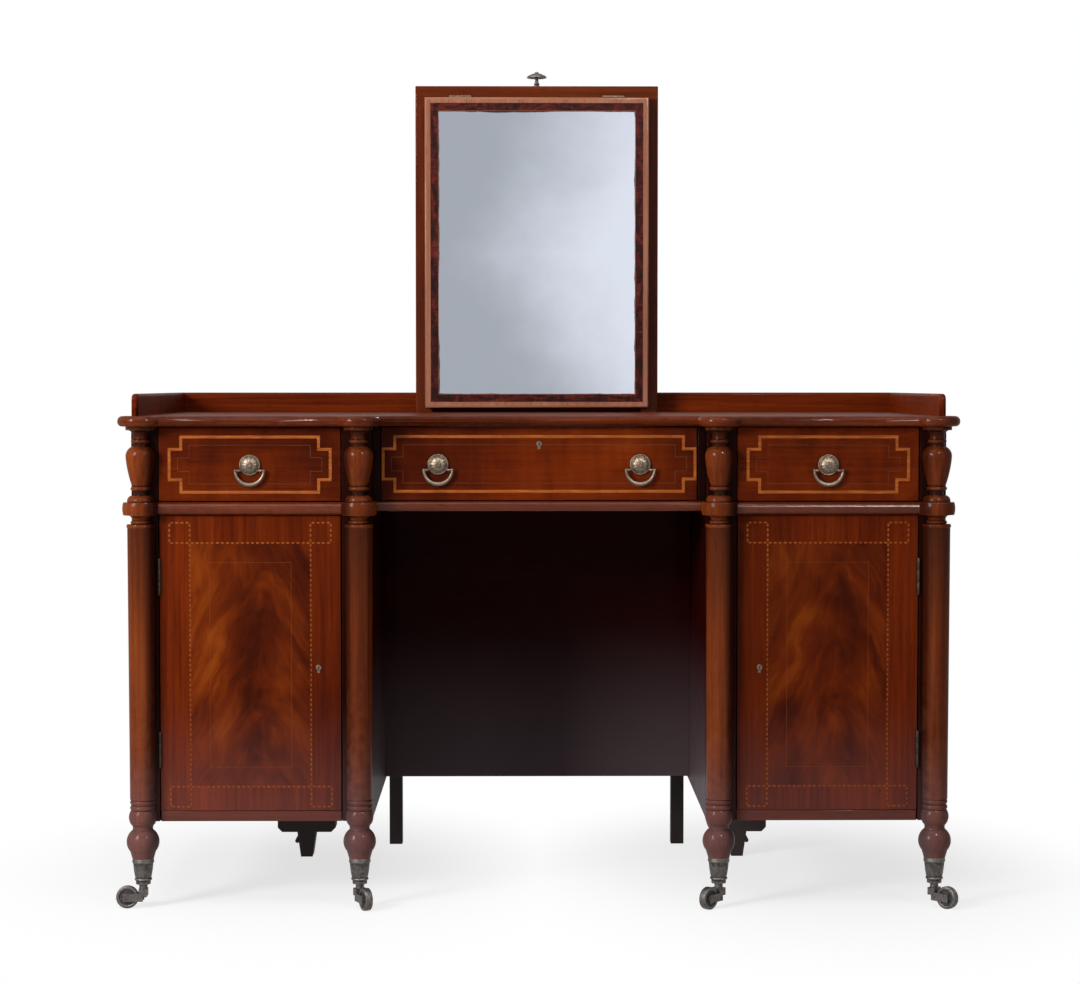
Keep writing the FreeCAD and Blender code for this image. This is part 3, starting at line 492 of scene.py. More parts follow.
def smoothCurves(bm, low=math.radians(0.5), high=math.radians(24)):
    for face in bm.faces:
        bends = [e.calc_face_angle(0) for e in face.edges if len(e.link_faces) == 2]
        face.smooth = any(low < bend < high for bend in bends)


def allAt(edge, axis, value):
    return all(abs(vert.co[axis] - value) < tiny for vert in edge.verts)


def easedCopy(node, width, steps=2, wear=0.6, angle=28):  # the node with its sharper arrises rounded
    bm = cadCopy(node)
    roundArrises(bm, sharpEdges(bm, math.radians(angle)), width * mm, steps, wear)
    return bm


# Outlines of turned work: (radius, height, bulge), the bulge swelling the line to the next point

# mostDirt: how far the quirks darken, as grime and painted shade
turning = {"corner": math.radians(30), "wearPerTurn": 0.8, "mostWorn": 0.8, "mostDirt": 0.9}


def bulged(points, divisions=10):
    line = []
    for (x, z, sag), (nextX, nextZ, _) in zip(points, points[1:] + points[-1:]):
        line.append((x, z))
        chord = math.hypot(nextX - x, nextZ - z)
        if not sag or not chord:
            continue
        radius = (chord * chord / 4 + sag * sag) / (2 * abs(sag))
        middle = Vector(((x + nextX) / 2, (z + nextZ) / 2))
        normal = Vector((-(nextZ - z), nextX - x)) / chord * math.copysign(1, sag)
        centre = middle + normal * (abs(sag) - radius)
        start = math.atan2(z - centre.y, x - centre.x)
        sweep = math.remainder(math.atan2(nextZ - centre.y, nextX - centre.x) - start, math.tau)
        for step in range(1, divisions):
            angle = start + sweep * step / divisions
            line.append((centre.x + radius * math.cos(angle), centre.y + radius * math.sin(angle)))
    return line


def turnedWork(points, centre, steps=72, ease=0.5, divisions=10):  # worn on its crests, darker in its quirks as grime and painted shade
    bm = bmesh.new()
    wear = wearOf(bm)
    verts = [bm.verts.new((r * mm, 0, z * mm)) for r, z in bulged(points, divisions)]
    for ends in zip(verts, verts[1:]):
        bm.edges.new(ends)
    corners = []
    for vert, before, after in zip(verts[1:-1], verts, verts[2:]):
        turn = (vert.co - before.co).xz.angle_signed((after.co - vert.co).xz, 0)
        if abs(turn) > turning["corner"]:
            corners.append(vert)
        vert[wear] = max(-turning["mostDirt"], min(turning["mostWorn"], turn * turning["wearPerTurn"]))
    bmesh.ops.bevel(bm, geom=corners, offset=ease * mm, offset_type="OFFSET", affect="VERTICES",
                    segments=3, profile=0.5, material=-1, clamp_overlap=True)
    bmesh.ops.spin(bm, geom=bm.verts[:] + bm.edges[:], cent=(0, 0, 0), axis=(0, 0, 1), angle=math.tau,
                   steps=steps, use_merge=True)
    bmesh.ops.remove_doubles(bm, verts=bm.verts, dist=0.001 * mm)
    bmesh.ops.recalc_face_normals(bm, faces=bm.faces)
    for face in bm.faces:
        face.smooth = True
    bmesh.ops.translate(bm, verts=bm.verts, vec=centre)
    return bm


def moveInto(target, source):
    loose = bpy.data.meshes.new("loose")
    source.to_mesh(loose)
    source.free()
    target.from_mesh(loose)
    bpy.data.meshes.remove(loose)


def cutShell(bm, place, normal):  # cuts a closed shell off at a plane and closes it again
    bmesh.ops.bisect_plane(bm, geom=bm.verts[:] + bm.edges[:] + bm.faces[:], plane_co=place, plane_no=normal,
                           clear_outer=True, dist=0.001 * mm)
    bmesh.ops.edgeloop_fill(bm, edges=[e for e in bm.edges if e.is_boundary])


def slab(bm, low, high):
    made = bmesh.ops.create_cube(bm, size=1)["verts"]
    size = [b - a for a, b in zip(low, high)]
    bmesh.ops.scale(bm, vec=size, verts=made)
    bmesh.ops.translate(bm, vec=[(a + b) / 2 for a, b in zip(low, high)], verts=made)


def thicken(bm, reach):  # turns flat faces into closed bars
    made = bmesh.ops.extrude_face_region(bm, geom=bm.faces[:] + bm.edges[:], use_keep_orig=True)["geom"]
    far = [v for v in made if isinstance(v, bmesh.types.BMVert)]
    bmesh.ops.translate(bm, verts=far, vec=reach)
    bmesh.ops.recalc_face_normals(bm, faces=bm.faces)


def hollowRing(bm, face, width, depth):  # a band of one width round the face's edge
    face.normal_update()
    bmesh.ops.inset_individual(bm, faces=[face], thickness=width, use_even_offset=True)
    bmesh.ops.delete(bm, geom=[face], context="FACES_ONLY")
    thicken(bm, (0, depth, 0))


# Finishes

addFinish("mahoganyAcross", polished(mahoganyTones, "x", coat=0.14, coatRoughness=0.13))
addFinish("nosing", polished(mahoganyTones, "x", coat=0.40, coatRoughness=0.24))
addFinish("turnedMahogany", polished(turnedTones, "z", coat=0.09, coatRoughness=0.15, roughness=0.38,
                                     shadeOf=paintedColumnShade, bloom=footFloorSheen))
addFinish("stileUp", polished(shadedStileTones, "z"))
addFinish("sidePanel", polished(redTones, "z", figureOf=mottle))
addFinish("galleryRun", polished(redTones, "xy"))
addFinish("kneeholeUp", polished(shadedKneeholeTones, "z", coat=0.02, rubbed=0.1, bloom=kneeholeFloorSheen))
addFinish("kneeholeAcross", polished(shadedKneeholeTones, "x", coat=0.02, rubbed=0.1, bloom=kneeholeFloorSheen))
addFinish("darkUp", dull(darkTones, "z"))
addFinish("darkAcross", dull(darkTones, "x", roughness=0.5))
for oakName, oakGrain in (("oakDeep", "y"), ("oakAcross", "x"), ("oakUp", "z")):
    addFinish(oakName, dull(oakTones, oakGrain))
for finishName, finishTones in (("slide", mahoganyTones), ("frame", frameTonesAndHighlight)):
    addFinish(f"{finishName}Up", polished(finishTones, "z", coat=0.12))
    addFinish(f"{finishName}Across", polished(finishTones, "x", coat=0.12))
addFinish("boxwoodLine", boxwood("x"))
addFinish("dashSlip", boxwood("z", faint=0.60))
addFinish("thinLine", polished(hairlineTones, "x"))
addFinish("rosewoodUp", rosewood("x"))
addFinish("rosewoodAcross", rosewood("z"))
addFinish("brass", agedBrass((0.150, 0.111, 0.080), (0.034, 0.024, 0.018)))
addFinish("hingeBrass", agedBrass((0.045, 0.031, 0.021), (0.010, 0.007, 0.005)))
addFinish("frameBrass", agedBrass((0.150, 0.090, 0.058), (0.040, 0.024, 0.016)))
addFinish("castorBrass", agedBrass((0.118, 0.105, 0.098), (0.026, 0.023, 0.021)))
addFinish("keyShadow", keyholeShade)
print("finishes:", len(finishes))


# Plain boards: a copy of the node with its arrises eased (finish, millimetres, steps)

boards = {
    "corner_stiles": ("stileUp", 0.9, 2),
    "outer_sides": ("sidePanel", 1.0, 2),
    "inner_sides": ("kneeholeUp", 0.8, 2),
    "pedestal_backs": ("darkUp", 0.8, 2),
    "pedestal_bottoms": ("mahoganyAcross", 0.9, 2),
    "cupboard_shelves": ("darkAcross", 0.9, 2),
    "centre_stiles": ("stileUp", 0.9, 2),
    "kneehole_panel": ("kneeholeAcross", 0.6, 2),
    "well_floor": ("darkAcross", 0.6, 2),
    "well_back": ("darkUp", 0.6, 2),
    "mirror_guides": ("darkUp", 0.6, 2),
    "rear_posts": ("darkUp", 1.2, 3),
    "rear_feet": ("darkUp", 1.2, 3),
    "left_drawer_box": ("oakDeep", 0.8, 2),
    "right_drawer_box": ("oakDeep", 0.8, 2),
    "centre_drawer_box": ("oakDeep", 0.8, 2),
    "left_drawer_bottom": ("oakAcross", 0.4, 2),
    "right_drawer_bottom": ("oakAcross", 0.4, 2),
    "centre_drawer_bottom": ("oakAcross", 0.4, 2),
    "mirror_backing": ("oakUp", 0.5, 2),
}
for boardNode, (finishName, easeWidth, easeSteps) in boards.items():
    dressNode(boardNode, easedCopy(boardNode, easeWidth, easeSteps), finishName)
print("boards:", len(boards))


# Top: thumb-moulded edge round the turrets, a crisp arris at the mirror's slot

topEdge = {"upper": 8.2 * mm, "lower": 7.4 * mm, "steps": 6, "wear": 0.45,
           "slotX": 230 * mm, "slotY": 220 * mm, "slotEase": 0.8 * mm, "slotWear": 0.5, "backRim": 10 * mm}


def makeTop():
    low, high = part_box("top_board")
    bm = cadCopy("top_board")

    def inSlot(edge):
        middle = (edge.verts[0].co + edge.verts[1].co) / 2
        return abs(middle.x) < topEdge["slotX"] and topEdge["slotY"] < middle.y < high[1] - topEdge["backRim"]

    for level, width in ((high[2], topEdge["upper"]), (low[2], topEdge["lower"])):
        rim = [e for e in sharpEdges(bm) if allAt(e, 2, level) and not inSlot(e)]
        roundArrises(bm, rim, width, topEdge["steps"], topEdge["wear"], clamp=False)
    slotEdges = [e for e in sharpEdges(bm, math.radians(60)) if inSlot(e)]
    roundArrises(bm, slotEdges, topEdge["slotEase"], 2, topEdge["slotWear"])
    dressNode("top_board", bm, "mahoganyAcross")


# Waist boards: a half-round bar in place of the square front, its ends inside the columns' collars

waist = {"fromColumn": 24 * mm, "steps": 16, "wear": 0.25}


def halfRound(low, high, inner, outer, backY):
    bm = bmesh.new()
    middle = (low[2] + high[2]) / 2
    lowest = bm.verts.new((inner, backY, low[2]))
    highest = bmesh.ops.spin(bm, geom=[lowest], cent=(inner, backY, middle), axis=(1, 0, 0), angle=-math.pi,
                             steps=waist["steps"])["geom_last"][0]
    bm.edges.new((lowest, highest))
    bmesh.ops.edgeloop_fill(bm, edges=bm.edges)
    thicken(bm, (outer - inner, 0, 0))
    wear = wearOf(bm)
    for vert in bm.verts:
        vert[wear] = waist["wear"] if vert.co.y < backY - tiny else 0
    for face in bm.faces:
        face.smooth = face.normal.y < -tiny
    return bm


def makeWaist():
    low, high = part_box("waist_boards")
    backY = low[1] + (high[2] - low[2]) / 2
    inner, outer = innerX + waist["fromColumn"], outerX - waist["fromColumn"]
    whole = bmesh.new()
    for side in (-1, 1):
        bm = cadCopy("waist_boards")
        others = [v for v in bm.verts if v.co.x * side < 0]
        bmesh.ops.delete(bm, geom=others, context="VERTS")
        cutShell(bm, (0, backY, 0), (0, -1, 0))
        bmesh.ops.recalc_face_normals(bm, faces=bm.faces)
        moveInto(whole, bm)
        moveInto(whole, halfRound(low, high, side * inner, side * outer, backY))
    dressNode("waist_boards", whole, "nosing")


# Gallery: a rounded top, swept down at the front ends

gallery = {"thickness": 11 * mm, "sweep": 12 * mm, "sweepSteps": 8,
           "nose": 4.4 * mm, "noseSteps": 5, "wear": 0.4}


def galleryBoard(low, high, sideBoard):
    bm = bmesh.new()
    slab(bm, low, high)
    bm.normal_update()
    if sideBoard:
        corner = [e for e in bm.edges if allAt(e, 1, low[1]) and allAt(e, 2, high[2])]
        roundArrises(bm, corner, gallery["sweep"], gallery["sweepSteps"], 0)
    nose = [e for e in sharpEdges(bm) if not allAt(e, 2, low[2]) and not (sideBoard and allAt(e, 1, high[1]))]
    roundArrises(bm, nose, gallery["nose"], gallery["noseSteps"], gallery["wear"], clamp=False)
    return bm


def makeGallery():
    low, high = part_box("gallery")
    thick = gallery["thickness"]
    sideEnd = high[1] - thick / 2  # the sides run on into the back
    whole = galleryBoard((low[0], high[1] - thick, low[2]), high, False)
    moveInto(whole, galleryBoard(low, (low[0] + thick, sideEnd, high[2]), True))
    moveInto(whole, galleryBoard((high[0] - thick, low[1], low[2]), (high[0], sideEnd, high[2]), True))
    finishPiece("galleryBoards", whole, "galleryRun", "carcase", ["gallery"])


# Centre rail under the middle drawer: the dust board with a rounded front

centreRail = {"nosing": 7.6 * mm, "steps": 8, "wear": 0.5}


def makeCentreRail():
    low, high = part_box("centre_dust_board")
    bm = cadCopy("centre_dust_board")
    front = [e for e in sharpEdges(bm)
             if allAt(e, 1, low[1]) and (allAt(e, 2, low[2]) or allAt(e, 2, high[2]))]
    roundArrises(bm, front, centreRail["nosing"], centreRail["steps"], centreRail["wear"])
    dressNode("centre_dust_board", bm, "nosing")


makeTop()
makeWaist()
makeGallery()
makeCentreRail()
print("top, waist, gallery and centre rail made")


# Turned columns, with a flat back where they stand against the stiles

column = {
    "capital": 24, "neck": 12.5, "vase": 24, "vaseFoot": 13.7, "stem": 11.4, "ovolo": 22, "collar": 28.5,
    "waistNeck": 14, "shaft": 22.2, "shaftFoot": 20.6, "baseNeck": 18, "baseRings": 18, "torus": 19.5,
    "baseTop": 161, "base": 138.5, "ankle": 17, "ankleHeight": 129, "bulbFoot": 21, "cuff": 17.5,
    "tenon": 15, "tenonEnd": 9, "tenonLow": 50, "ease": 0.45,
}


def columnOutline():
    c = column
    top, cuff = underTop / mm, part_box("castor_sockets")[1][2] / mm
    waistLow, waistTop = (corner[2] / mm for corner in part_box("waist_boards"))
    shaftLow = c["baseTop"] + c["baseRings"]
    return [
        (0, top, 0), (c["capital"], top, 0), (c["capital"], top - 6, 0), (c["capital"] - 4, top - 6, -3),
        (c["neck"], top - 18, 0), (c["neck"], top - 21, 2.9), (c["neck"], top - 27, 0),
        (c["neck"], top - 32, 4), (c["vase"], top - 51, 1.5), (c["vaseFoot"], waistTop + 25.4, 2.9),
        (c["vaseFoot"], waistTop + 19.4, 0), (c["stem"], waistTop + 19.4, 0), (c["stem"], waistTop + 11, 0),
        (c["ovolo"] - 6, waistTop + 11, 2.4), (c["ovolo"], waistTop, 0), (c["collar"], waistTop, 1.5),
        (c["collar"], waistLow, 0), (c["shaft"], waistLow, -2.4), (c["waistNeck"], waistLow - 9, 2.9),
        (c["waistNeck"], waistLow - 15, 0), (c["shaft"], waistLow - 15, 1.2),
        (c["shaft"], waistLow - 21, 0), (c["shaftFoot"], shaftLow, 0),
        (c["baseNeck"], shaftLow, 2.6), (c["baseNeck"], shaftLow - 9, 2.6), (c["baseNeck"], c["baseTop"], 0),
        (c["torus"], c["baseTop"], 3.2), (c["torus"], c["base"], -1.6), (c["ankle"], c["ankleHeight"], 7.6),
        (c["bulbFoot"], cuff + 12, 0), (c["cuff"], cuff, 0), (c["tenon"], cuff, 0),
        (c["tenonEnd"], c["tenonLow"], 0), (0, c["tenonLow"], 0),
    ]


def flattenBack(bm, backY, fromZ):  # the foot below stays round
    foot = bm.copy()
    cutShell(foot, (0, 0, fromZ), (0, 0, 1))
    cutShell(bm, (0, 0, fromZ), (0, 0, -1))
    cutShell(bm, (0, backY, 0), (0, 1, 0))
    moveInto(bm, foot)
    bmesh.ops.recalc_face_normals(bm, faces=bm.faces)


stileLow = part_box("corner_stiles")[0]
for place, (columnX, columnY) in columnPlaces.items():
    bm = turnedWork(columnOutline(), (columnX, columnY, 0), ease=column["ease"])
    flattenBack(bm, stileLow[1], stileLow[2])
    for face in bm.faces:
        face.smooth = len(face.verts) < 5  # the cut faces have more
    dressNode(f"{place}_column", bm, "turnedMahogany")
print("columns:", len(columnPlaces))


# Doors: crotch veneer inside a dashed line, straight-grained border outside it

doorInlay = {"sideMargin": 16, "topMargin": 12, "bottomMargin": 6.5, "square": 33, "lineWidth": 2.6,
             "dash": 4.6, "pitch": 8.2, "proud": 0.15, "sunk": 0.6, "hairInset": 32, "hairWidth": 0.9,
             "hairStrength": 0.4, "hairColour": (0.20, 0.052, 0.016, 1), "arris": 0.9}
flameTones = [(0.30, (0.040, 0.0050, 0.0012)), (0.43, (0.078, 0.0098, 0.0015)),
              (0.54, (0.118, 0.0165, 0.0018)), (0.66, (0.175, 0.0310, 0.0028)),
              (0.80, (0.250, 0.0560, 0.0060))]


def panelEdges(low, high):
    margin = (doorInlay["sideMargin"] + doorInlay["square"]) * mm
    upper = high[2] - (doorInlay["topMargin"] + doorInlay["square"]) * mm
    lower = low[2] + (doorInlay["bottomMargin"] + doorInlay["square"]) * mm
    return low[0] + margin, high[0] - margin, lower, upper


def doorVeneer(node, lean, shades):
    low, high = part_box(node)
    left, right, lower, upper = panelEdges(low, high)
    shade = endToneAndShade(low[0], high[0], shades)
    centreX, centreZ = (left + right) / 2, (lower + upper) / 2
    halfX, halfZ = (right - left) / 2, (upper - lower) / 2

    def paint(tree):
        surface = polished(redTones, "z", rubbed=0.3, shadeOf=shade)(tree)
        flame = tree.ramp(feather(centreX, centreZ, lean)(tree), flameTones)
        # the same tone and painted shade at the ends falls on the flame
        flame = tree.blend(shade(tree), flame, timber["deep"])
        x, y, z = tree.axes((-centreX, 0, -centreZ))
        inset = (abs(x) - halfX).most(abs(z) - halfZ)
        colour = tree.blend(inset < 0, surface["Base Color"], withPaintedFloorSheen(tree, flame, frontFloorSheen))
        hair = abs(inset + doorInlay["hairInset"] * mm) < doorInlay["hairWidth"] / 2 * mm
        surface["Base Color"] = tree.blend(hair * doorInlay["hairStrength"], colour, doorInlay["hairColour"])
        return surface
    return paint


def dashes(bm, start, end, faceY):  # a line of short slips let into the face
    start, end = Vector(start), Vector(end)
    count = max(1, round((end - start).length / (doorInlay["pitch"] * mm)))
    step = (end - start) / count
    half = Vector((doorInlay["lineWidth"], 0, doorInlay["lineWidth"])) * mm / 2
    along = step.normalized() * (doorInlay["dash"] - doorInlay["lineWidth"]) * mm / 2
    reach = half + Vector((abs(along.x), 0, abs(along.z)))
    for place in range(count):
        middle = start + step * (place + 0.5)
        low, high = middle - reach, middle + reach
        low.y, high.y = faceY - doorInlay["proud"] * mm, faceY + doorInlay["sunk"] * mm
        slab(bm, low, high)


def makeDoor(node, lean, shades):
    low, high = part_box(node)
    veneer = camelName(node) + "Veneer"
    addFinish(veneer, doorVeneer(node, lean, shades))
    dressNode(node, easedCopy(node, doorInlay["arris"], wear=0.55, angle=60), veneer)
    left, right, lower, upper = panelEdges(low, high)
    outerLeft, outerRight = low[0] + doorInlay["sideMargin"] * mm, high[0] - doorInlay["sideMargin"] * mm
    outerLow, outerHigh = low[2] + doorInlay["bottomMargin"] * mm, high[2] - doorInlay["topMargin"] * mm
    line = bmesh.new()
    for x, otherX in ((left, outerLeft), (right, outerRight)):
        dashes(line, (x, 0, outerLow), (x, 0, outerHigh), low[1])
        for z, otherZ in ((lower, outerLow), (upper, outerHigh)):
            dashes(line, (otherX, 0, z), (otherX, 0, otherZ), low[1])
            dashes(line, (otherX, 0, otherZ), (x, 0, otherZ), low[1])
    for z in (lower, upper):
        dashes(line, (outerLeft, 0, z), (outerRight, 0, z), low[1])
    finishPiece(camelName(node) + "Stringing", line, "dashSlip", node, smooth=False)


doors = {  # the strokes' lean in degrees, then the veneer's darker ends: tone and painted shade at left, middle and right
    "left_door": (-27, (0.04, 0.08, 0.34)),
    "right_door": (-21.6, (0.44, 0.05, 0.18)),
}
for doorNode, (lean, shades) in doors.items():
    makeDoor(doorNode, math.radians(lean), shades)
print("doors:", len(doors))


# Drawer fronts: a boxwood band with notched corners, and a hairline inside it

drawerInlay = {"band": 4.6, "hair": 1.1, "hairInset": 13.5, "proud": 0.15, "sunk": 0.6,
               "height": 45, "notch": 24.8, "lowered": 0.5, "arris": 1.1}
drawerFronts = {  # half widths of the band's main part and of its tabs, then the veneer's darker ends: tone and painted shade
    "left": (112, 131, (0.36, 0.22, 0.36)), "right": (112, 131, (0.0, 0.0, 0.0)),
    "centre": (237, 256, (0.58, 0.0, 0.30)),
}


def notchedBand(centre, mainX, tabX, shrink, width, faceY):
    main, tab = mainX - shrink + width / 2, tabX - shrink + width / 2
    height, notch = (drawerInlay[level] - shrink + width / 2 for level in ("height", "notch"))
    outline = [(tab, notch), (main, notch), (main, height), (-main, height), (-main, notch), (-tab, notch)]
    outline += [(-x, -z) for x, z in outline]
    frontY = faceY - drawerInlay["proud"] * mm
    bm = bmesh.new()
    verts = [bm.verts.new((centre[0] + x * mm, frontY, centre[1] + z * mm)) for x, z in outline]
    hollowRing(bm, bm.faces.new(verts), width * mm, (drawerInlay["proud"] + drawerInlay["sunk"]) * mm)
    return bm


def makeDrawerFront(side, mainX, tabX, shades):
    node, body = f"{side}_drawer_front", f"{side}_drawer"
    low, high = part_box(node)
    shade = endToneAndShade(low[0], high[0], shades)
    addFinish(f"{side}FrontVeneer", polished(redTones, "x", figureOf=mottle, shadeOf=shade))
    dressNode(node, easedCopy(node, drawerInlay["arris"], 3), f"{side}FrontVeneer")
    centre = ((low[0] + high[0]) / 2, (low[2] + high[2]) / 2 - drawerInlay["lowered"] * mm)
    lines = {"Band": (0, drawerInlay["band"], "boxwoodLine"),
             "Hairline": (drawerInlay["hairInset"], drawerInlay["hair"], "thinLine")}
    for name, (shrink, width, finish) in lines.items():
        line = notchedBand(centre, mainX, tabX, shrink, width, low[1])
        finishPiece(camelName(body) + name, line, finish, body, smooth=False)


for side, (mainX, tabX, shades) in drawerFronts.items():
    makeDrawerFront(side, mainX, tabX, shades)
print("drawer fronts:", len(drawerFronts))


# Handles: a domed rosette boss with a ring bail hung from its sides

handle = {"radius": 16.75, "rise": 9, "petals": 12, "petalStart": 5.4, "petalReach": 7.8, "petalDepth": 0.55,
          "petalWear": 0.5, "bailRadius": 23.25, "wireThin": 2.4, "wireFat": 3.8, "bailWear": 0.5,
          "knuckle": 2.7, "pin": 2.0, "pinReach": 9, "steps": 40, "lockReach": 40, "lockEase": 0.25}


def bossOutline():
    r = handle["radius"]
    return [(0, 12.4, 0), (2.6, 12.2, 0.7), (4.6, 10.6, 0), (5.4, 10.6, 0), (11.4, 7.6, 1.6), (13.2, 5.4, 0),
            (13.2, 4.2, -0.7), (15.2, 3.0, 1.1), (r, 1.4, 0), (r, 0, 0), (0, 0, 0)]


bailJoints = [j for j in frame["joints"] if j["name"].endswith("bail_lift")]


def makeBosses(side):
    node = f"{side}_drawer_brasses"
    bm = bmesh.new()
    bails = [j for j in bailJoints if j["parent"] == f"{side}_drawer"]
    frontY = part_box(f"{side}_drawer_front")[0][1]
    for joint in bails:
        x, y, z = joint["pos_m"]
        boss = turnedWork(bossOutline(), (0, 0, 0), steps=72, ease=0.25, divisions=8)
        wear = boss.verts.layers.float["wear"]
        for vert in boss.verts:
            radius = math.hypot(vert.co.x, vert.co.y) / mm
            share = (radius - handle["petalStart"]) / handle["petalReach"]
            swell = math.sin(math.pi * max(0, min(1, share)))
            wave = math.cos(handle["petals"] * math.atan2(vert.co.y, vert.co.x))
            vert.co.z += handle["petalDepth"] * mm * swell * wave
            vert[wear] += handle["petalWear"] * swell * wave
        bmesh.ops.rotate(boss, cent=(0, 0, 0), matrix=Matrix.Rotation(math.pi / 2, 3, "X"), verts=boss.verts)
        bmesh.ops.translate(boss, verts=boss.verts, vec=(x, frontY, z + handle["rise"] * mm))
        moveInto(bm, boss)
    if side == "centre":
        moveInto(bm, lockPieces(node))
    dressNode(node, bm, "brass")


def lockPieces(node):  # the lock case and its escutcheon, taken from the node without its bosses
    bm = cadCopy(node)
    far = [v for v in bm.verts if abs(v.co.x) > handle["lockReach"] * mm]
    bmesh.ops.delete(bm, geom=far, context="VERTS")
    roundArrises(bm, sharpEdges(bm, math.radians(50)), handle["lockEase"] * mm, 2, 0.5)
    return bm


def makeBail(joint):
    ringRadius = handle["bailRadius"] * mm
    bm = bmesh.new()
    wear = wearOf(bm)
    wire = bmesh.ops.create_circle(bm, segments=16, radius=1)["verts"]
    bmesh.ops.scale(bm, verts=wire, vec=(mm, mm, mm))
    bmesh.ops.translate(bm, verts=wire, vec=(ringRadius, 0, 0))
    bmesh.ops.spin(bm, geom=bm.verts[:] + bm.edges[:], cent=(0, 0, 0), axis=(0, 1, 0), angle=math.pi,
                   steps=handle["steps"], use_merge=False)
    for vert in bm.verts:
        angle = math.atan2(vert.co.z, vert.co.x)
        centreline = Vector((math.cos(angle), 0, math.sin(angle))) * ringRadius
        share = math.sin(angle) ** 2
        thickness = handle["wireThin"] + (handle["wireFat"] - handle["wireThin"]) * share
        vert.co = centreline + (vert.co - centreline) * thickness
        vert[wear] = handle["bailWear"] * share
    knuckle, pin, pinReach = (handle[size] * mm for size in ("knuckle", "pin", "pinReach"))
    for side in (-1, 1):
        ball = bmesh.ops.create_uvsphere(bm, u_segments=20, v_segments=14, radius=knuckle)["verts"]
        bmesh.ops.translate(bm, verts=ball, vec=(side * ringRadius, 0, 0))
        rod = bmesh.ops.create_cone(bm, cap_ends=True, segments=16, radius1=pin, radius2=pin,
                                    depth=pinReach)["verts"]
        bmesh.ops.rotate(bm, verts=rod, cent=(0, 0, 0), matrix=Matrix.Rotation(math.pi / 2, 3, "Y"))
        bmesh.ops.translate(bm, verts=rod, vec=(side * (ringRadius - pinReach / 2), 0, 0))
    bmesh.ops.edgeloop_fill(bm, edges=[e for e in bm.edges if e.is_boundary])
    bmesh.ops.recalc_face_normals(bm, faces=bm.faces)
    bmesh.ops.translate(bm, verts=bm.verts, vec=joint["pos_m"])
    dressNode(joint["child"], bm, "brass", smooth=True)


for side in drawerFronts:
    makeBosses(side)
for joint in bailJoints:
    makeBail(joint)
print("handles:", len(bailJoints))


# Small brasses kept from their nodes: locks, hinges, castor horns

smallBrasses = {  # finish and eased edge
    "left_door_lock": ("brass", 0.25), "right_door_lock": ("brass", 0.25),
    "door_hinge_plates": ("hingeBrass", 0.2), "left_door_hinges": ("hingeBrass", 0.2),
    "right_door_hinges": ("hingeBrass", 0.2), "mirror_hinge_plates": ("frameBrass", 0.2),
    "mirror_hinge_leaves": ("frameBrass", 0.2),
}
for place in columnPlaces:
    smallBrasses[f"{place}_castor_horn"] = ("castorBrass", 0.5)
for brassNode, (finishName, easeWidth) in smallBrasses.items():
    dressNode(brassNode, easedCopy(brassNode, easeWidth, angle=50), finishName)


# Keyholes: a dark slot standing a hair off each escutcheon, painted shade for the hole

keyhole = {"eye": 1.5, "slot": 1.5, "drop": 5.0, "off": 0.06, "depth": 0.5, "plate": 6}
keyPlaces = {"left_door": (-360.5, 394), "right_door": (360.5, 394), "centre_drawer": (0, 759)}


def makeKeyhole(body, x, z):
    lockNode = "centre_drawer_brasses" if body == "centre_drawer" else f"{body}_lock"
    lockVerts = frame["nodes"][lockNode].data.vertices
    plate = [v.co.y for v in lockVerts if abs(v.co.x - x) < keyhole["plate"] * mm]
    faceY = min(plate) - keyhole["off"] * mm
    bm = bmesh.new()
    bmesh.ops.create_circle(bm, segments=24, radius=keyhole["eye"] * mm, cap_ends=True)
    tail = bmesh.ops.create_grid(bm, x_segments=1, y_segments=1, size=0.5)["verts"]
    bmesh.ops.scale(bm, verts=tail, vec=(keyhole["slot"] * mm, keyhole["drop"] * mm, 1))
    bmesh.ops.translate(bm, verts=tail, vec=(0, -keyhole["drop"] / 2 * mm, -keyhole["off"] / 4 * mm))
    bmesh.ops.rotate(bm, verts=bm.verts, cent=(0, 0, 0), matrix=Matrix.Rotation(math.pi / 2, 3, "X"))
    thicken(bm, (0, keyhole["depth"] * mm, 0))
    bmesh.ops.translate(bm, verts=bm.verts, vec=(x, faceY, z))
    finishPiece(camelName(body) + "Keyhole", bm, "keyShadow", body, smooth=False)


for body, (keyX, keyZ) in keyPlaces.items():
    makeKeyhole(body, keyX * mm, keyZ * mm)
print("locks, hinges and keyholes made")


# Castors: turned cups on the column feet and grooved wheels

castor = {"wheel": 18.25, "width": 12, "axle": 2.5}


def cupOutline():
    return [(17.5, 82, 0), (17.5, 78.5, 0.5), (17.2, 75, 0), (16.5, 74.4, 0), (15.6, 66, 0.3), (12.9, 50, 0),
            (13.6, 49.4, 0.7), (13.6, 46.4, 0), (12, 46, 0), (12, 40, 0), (4, 40, 0), (4, 20, 0),
            (5.5, 20, 0), (5.5, 18, 0), (0, 18, 0)]


def cupInside():
    return [(0, 50, 0), (9.2, 50, 0), (15.2, 82, 0)]


def wheelOutline():
    r, half, axle = castor["wheel"], castor["width"] / 2, castor["axle"]
    return [(axle, half, 0), (5.5, half, 0), (6.2, half - 1.4, 0), (12.4, half - 1.8, 0),
            (13.4, half - 0.2, 0.3), (r - 1.6, half - 0.2, 0.6), (r, half - 1.8, 0.25), (r, 1.8 - half, 0.6),
            (r - 1.6, 0.2 - half, 0.3), (13.4, 0.2 - half, 0), (12.4, 1.8 - half, 0), (6.2, 1.4 - half, 0),
            (5.5, -half, 0), (axle, -half, 0), (axle, half, 0)]


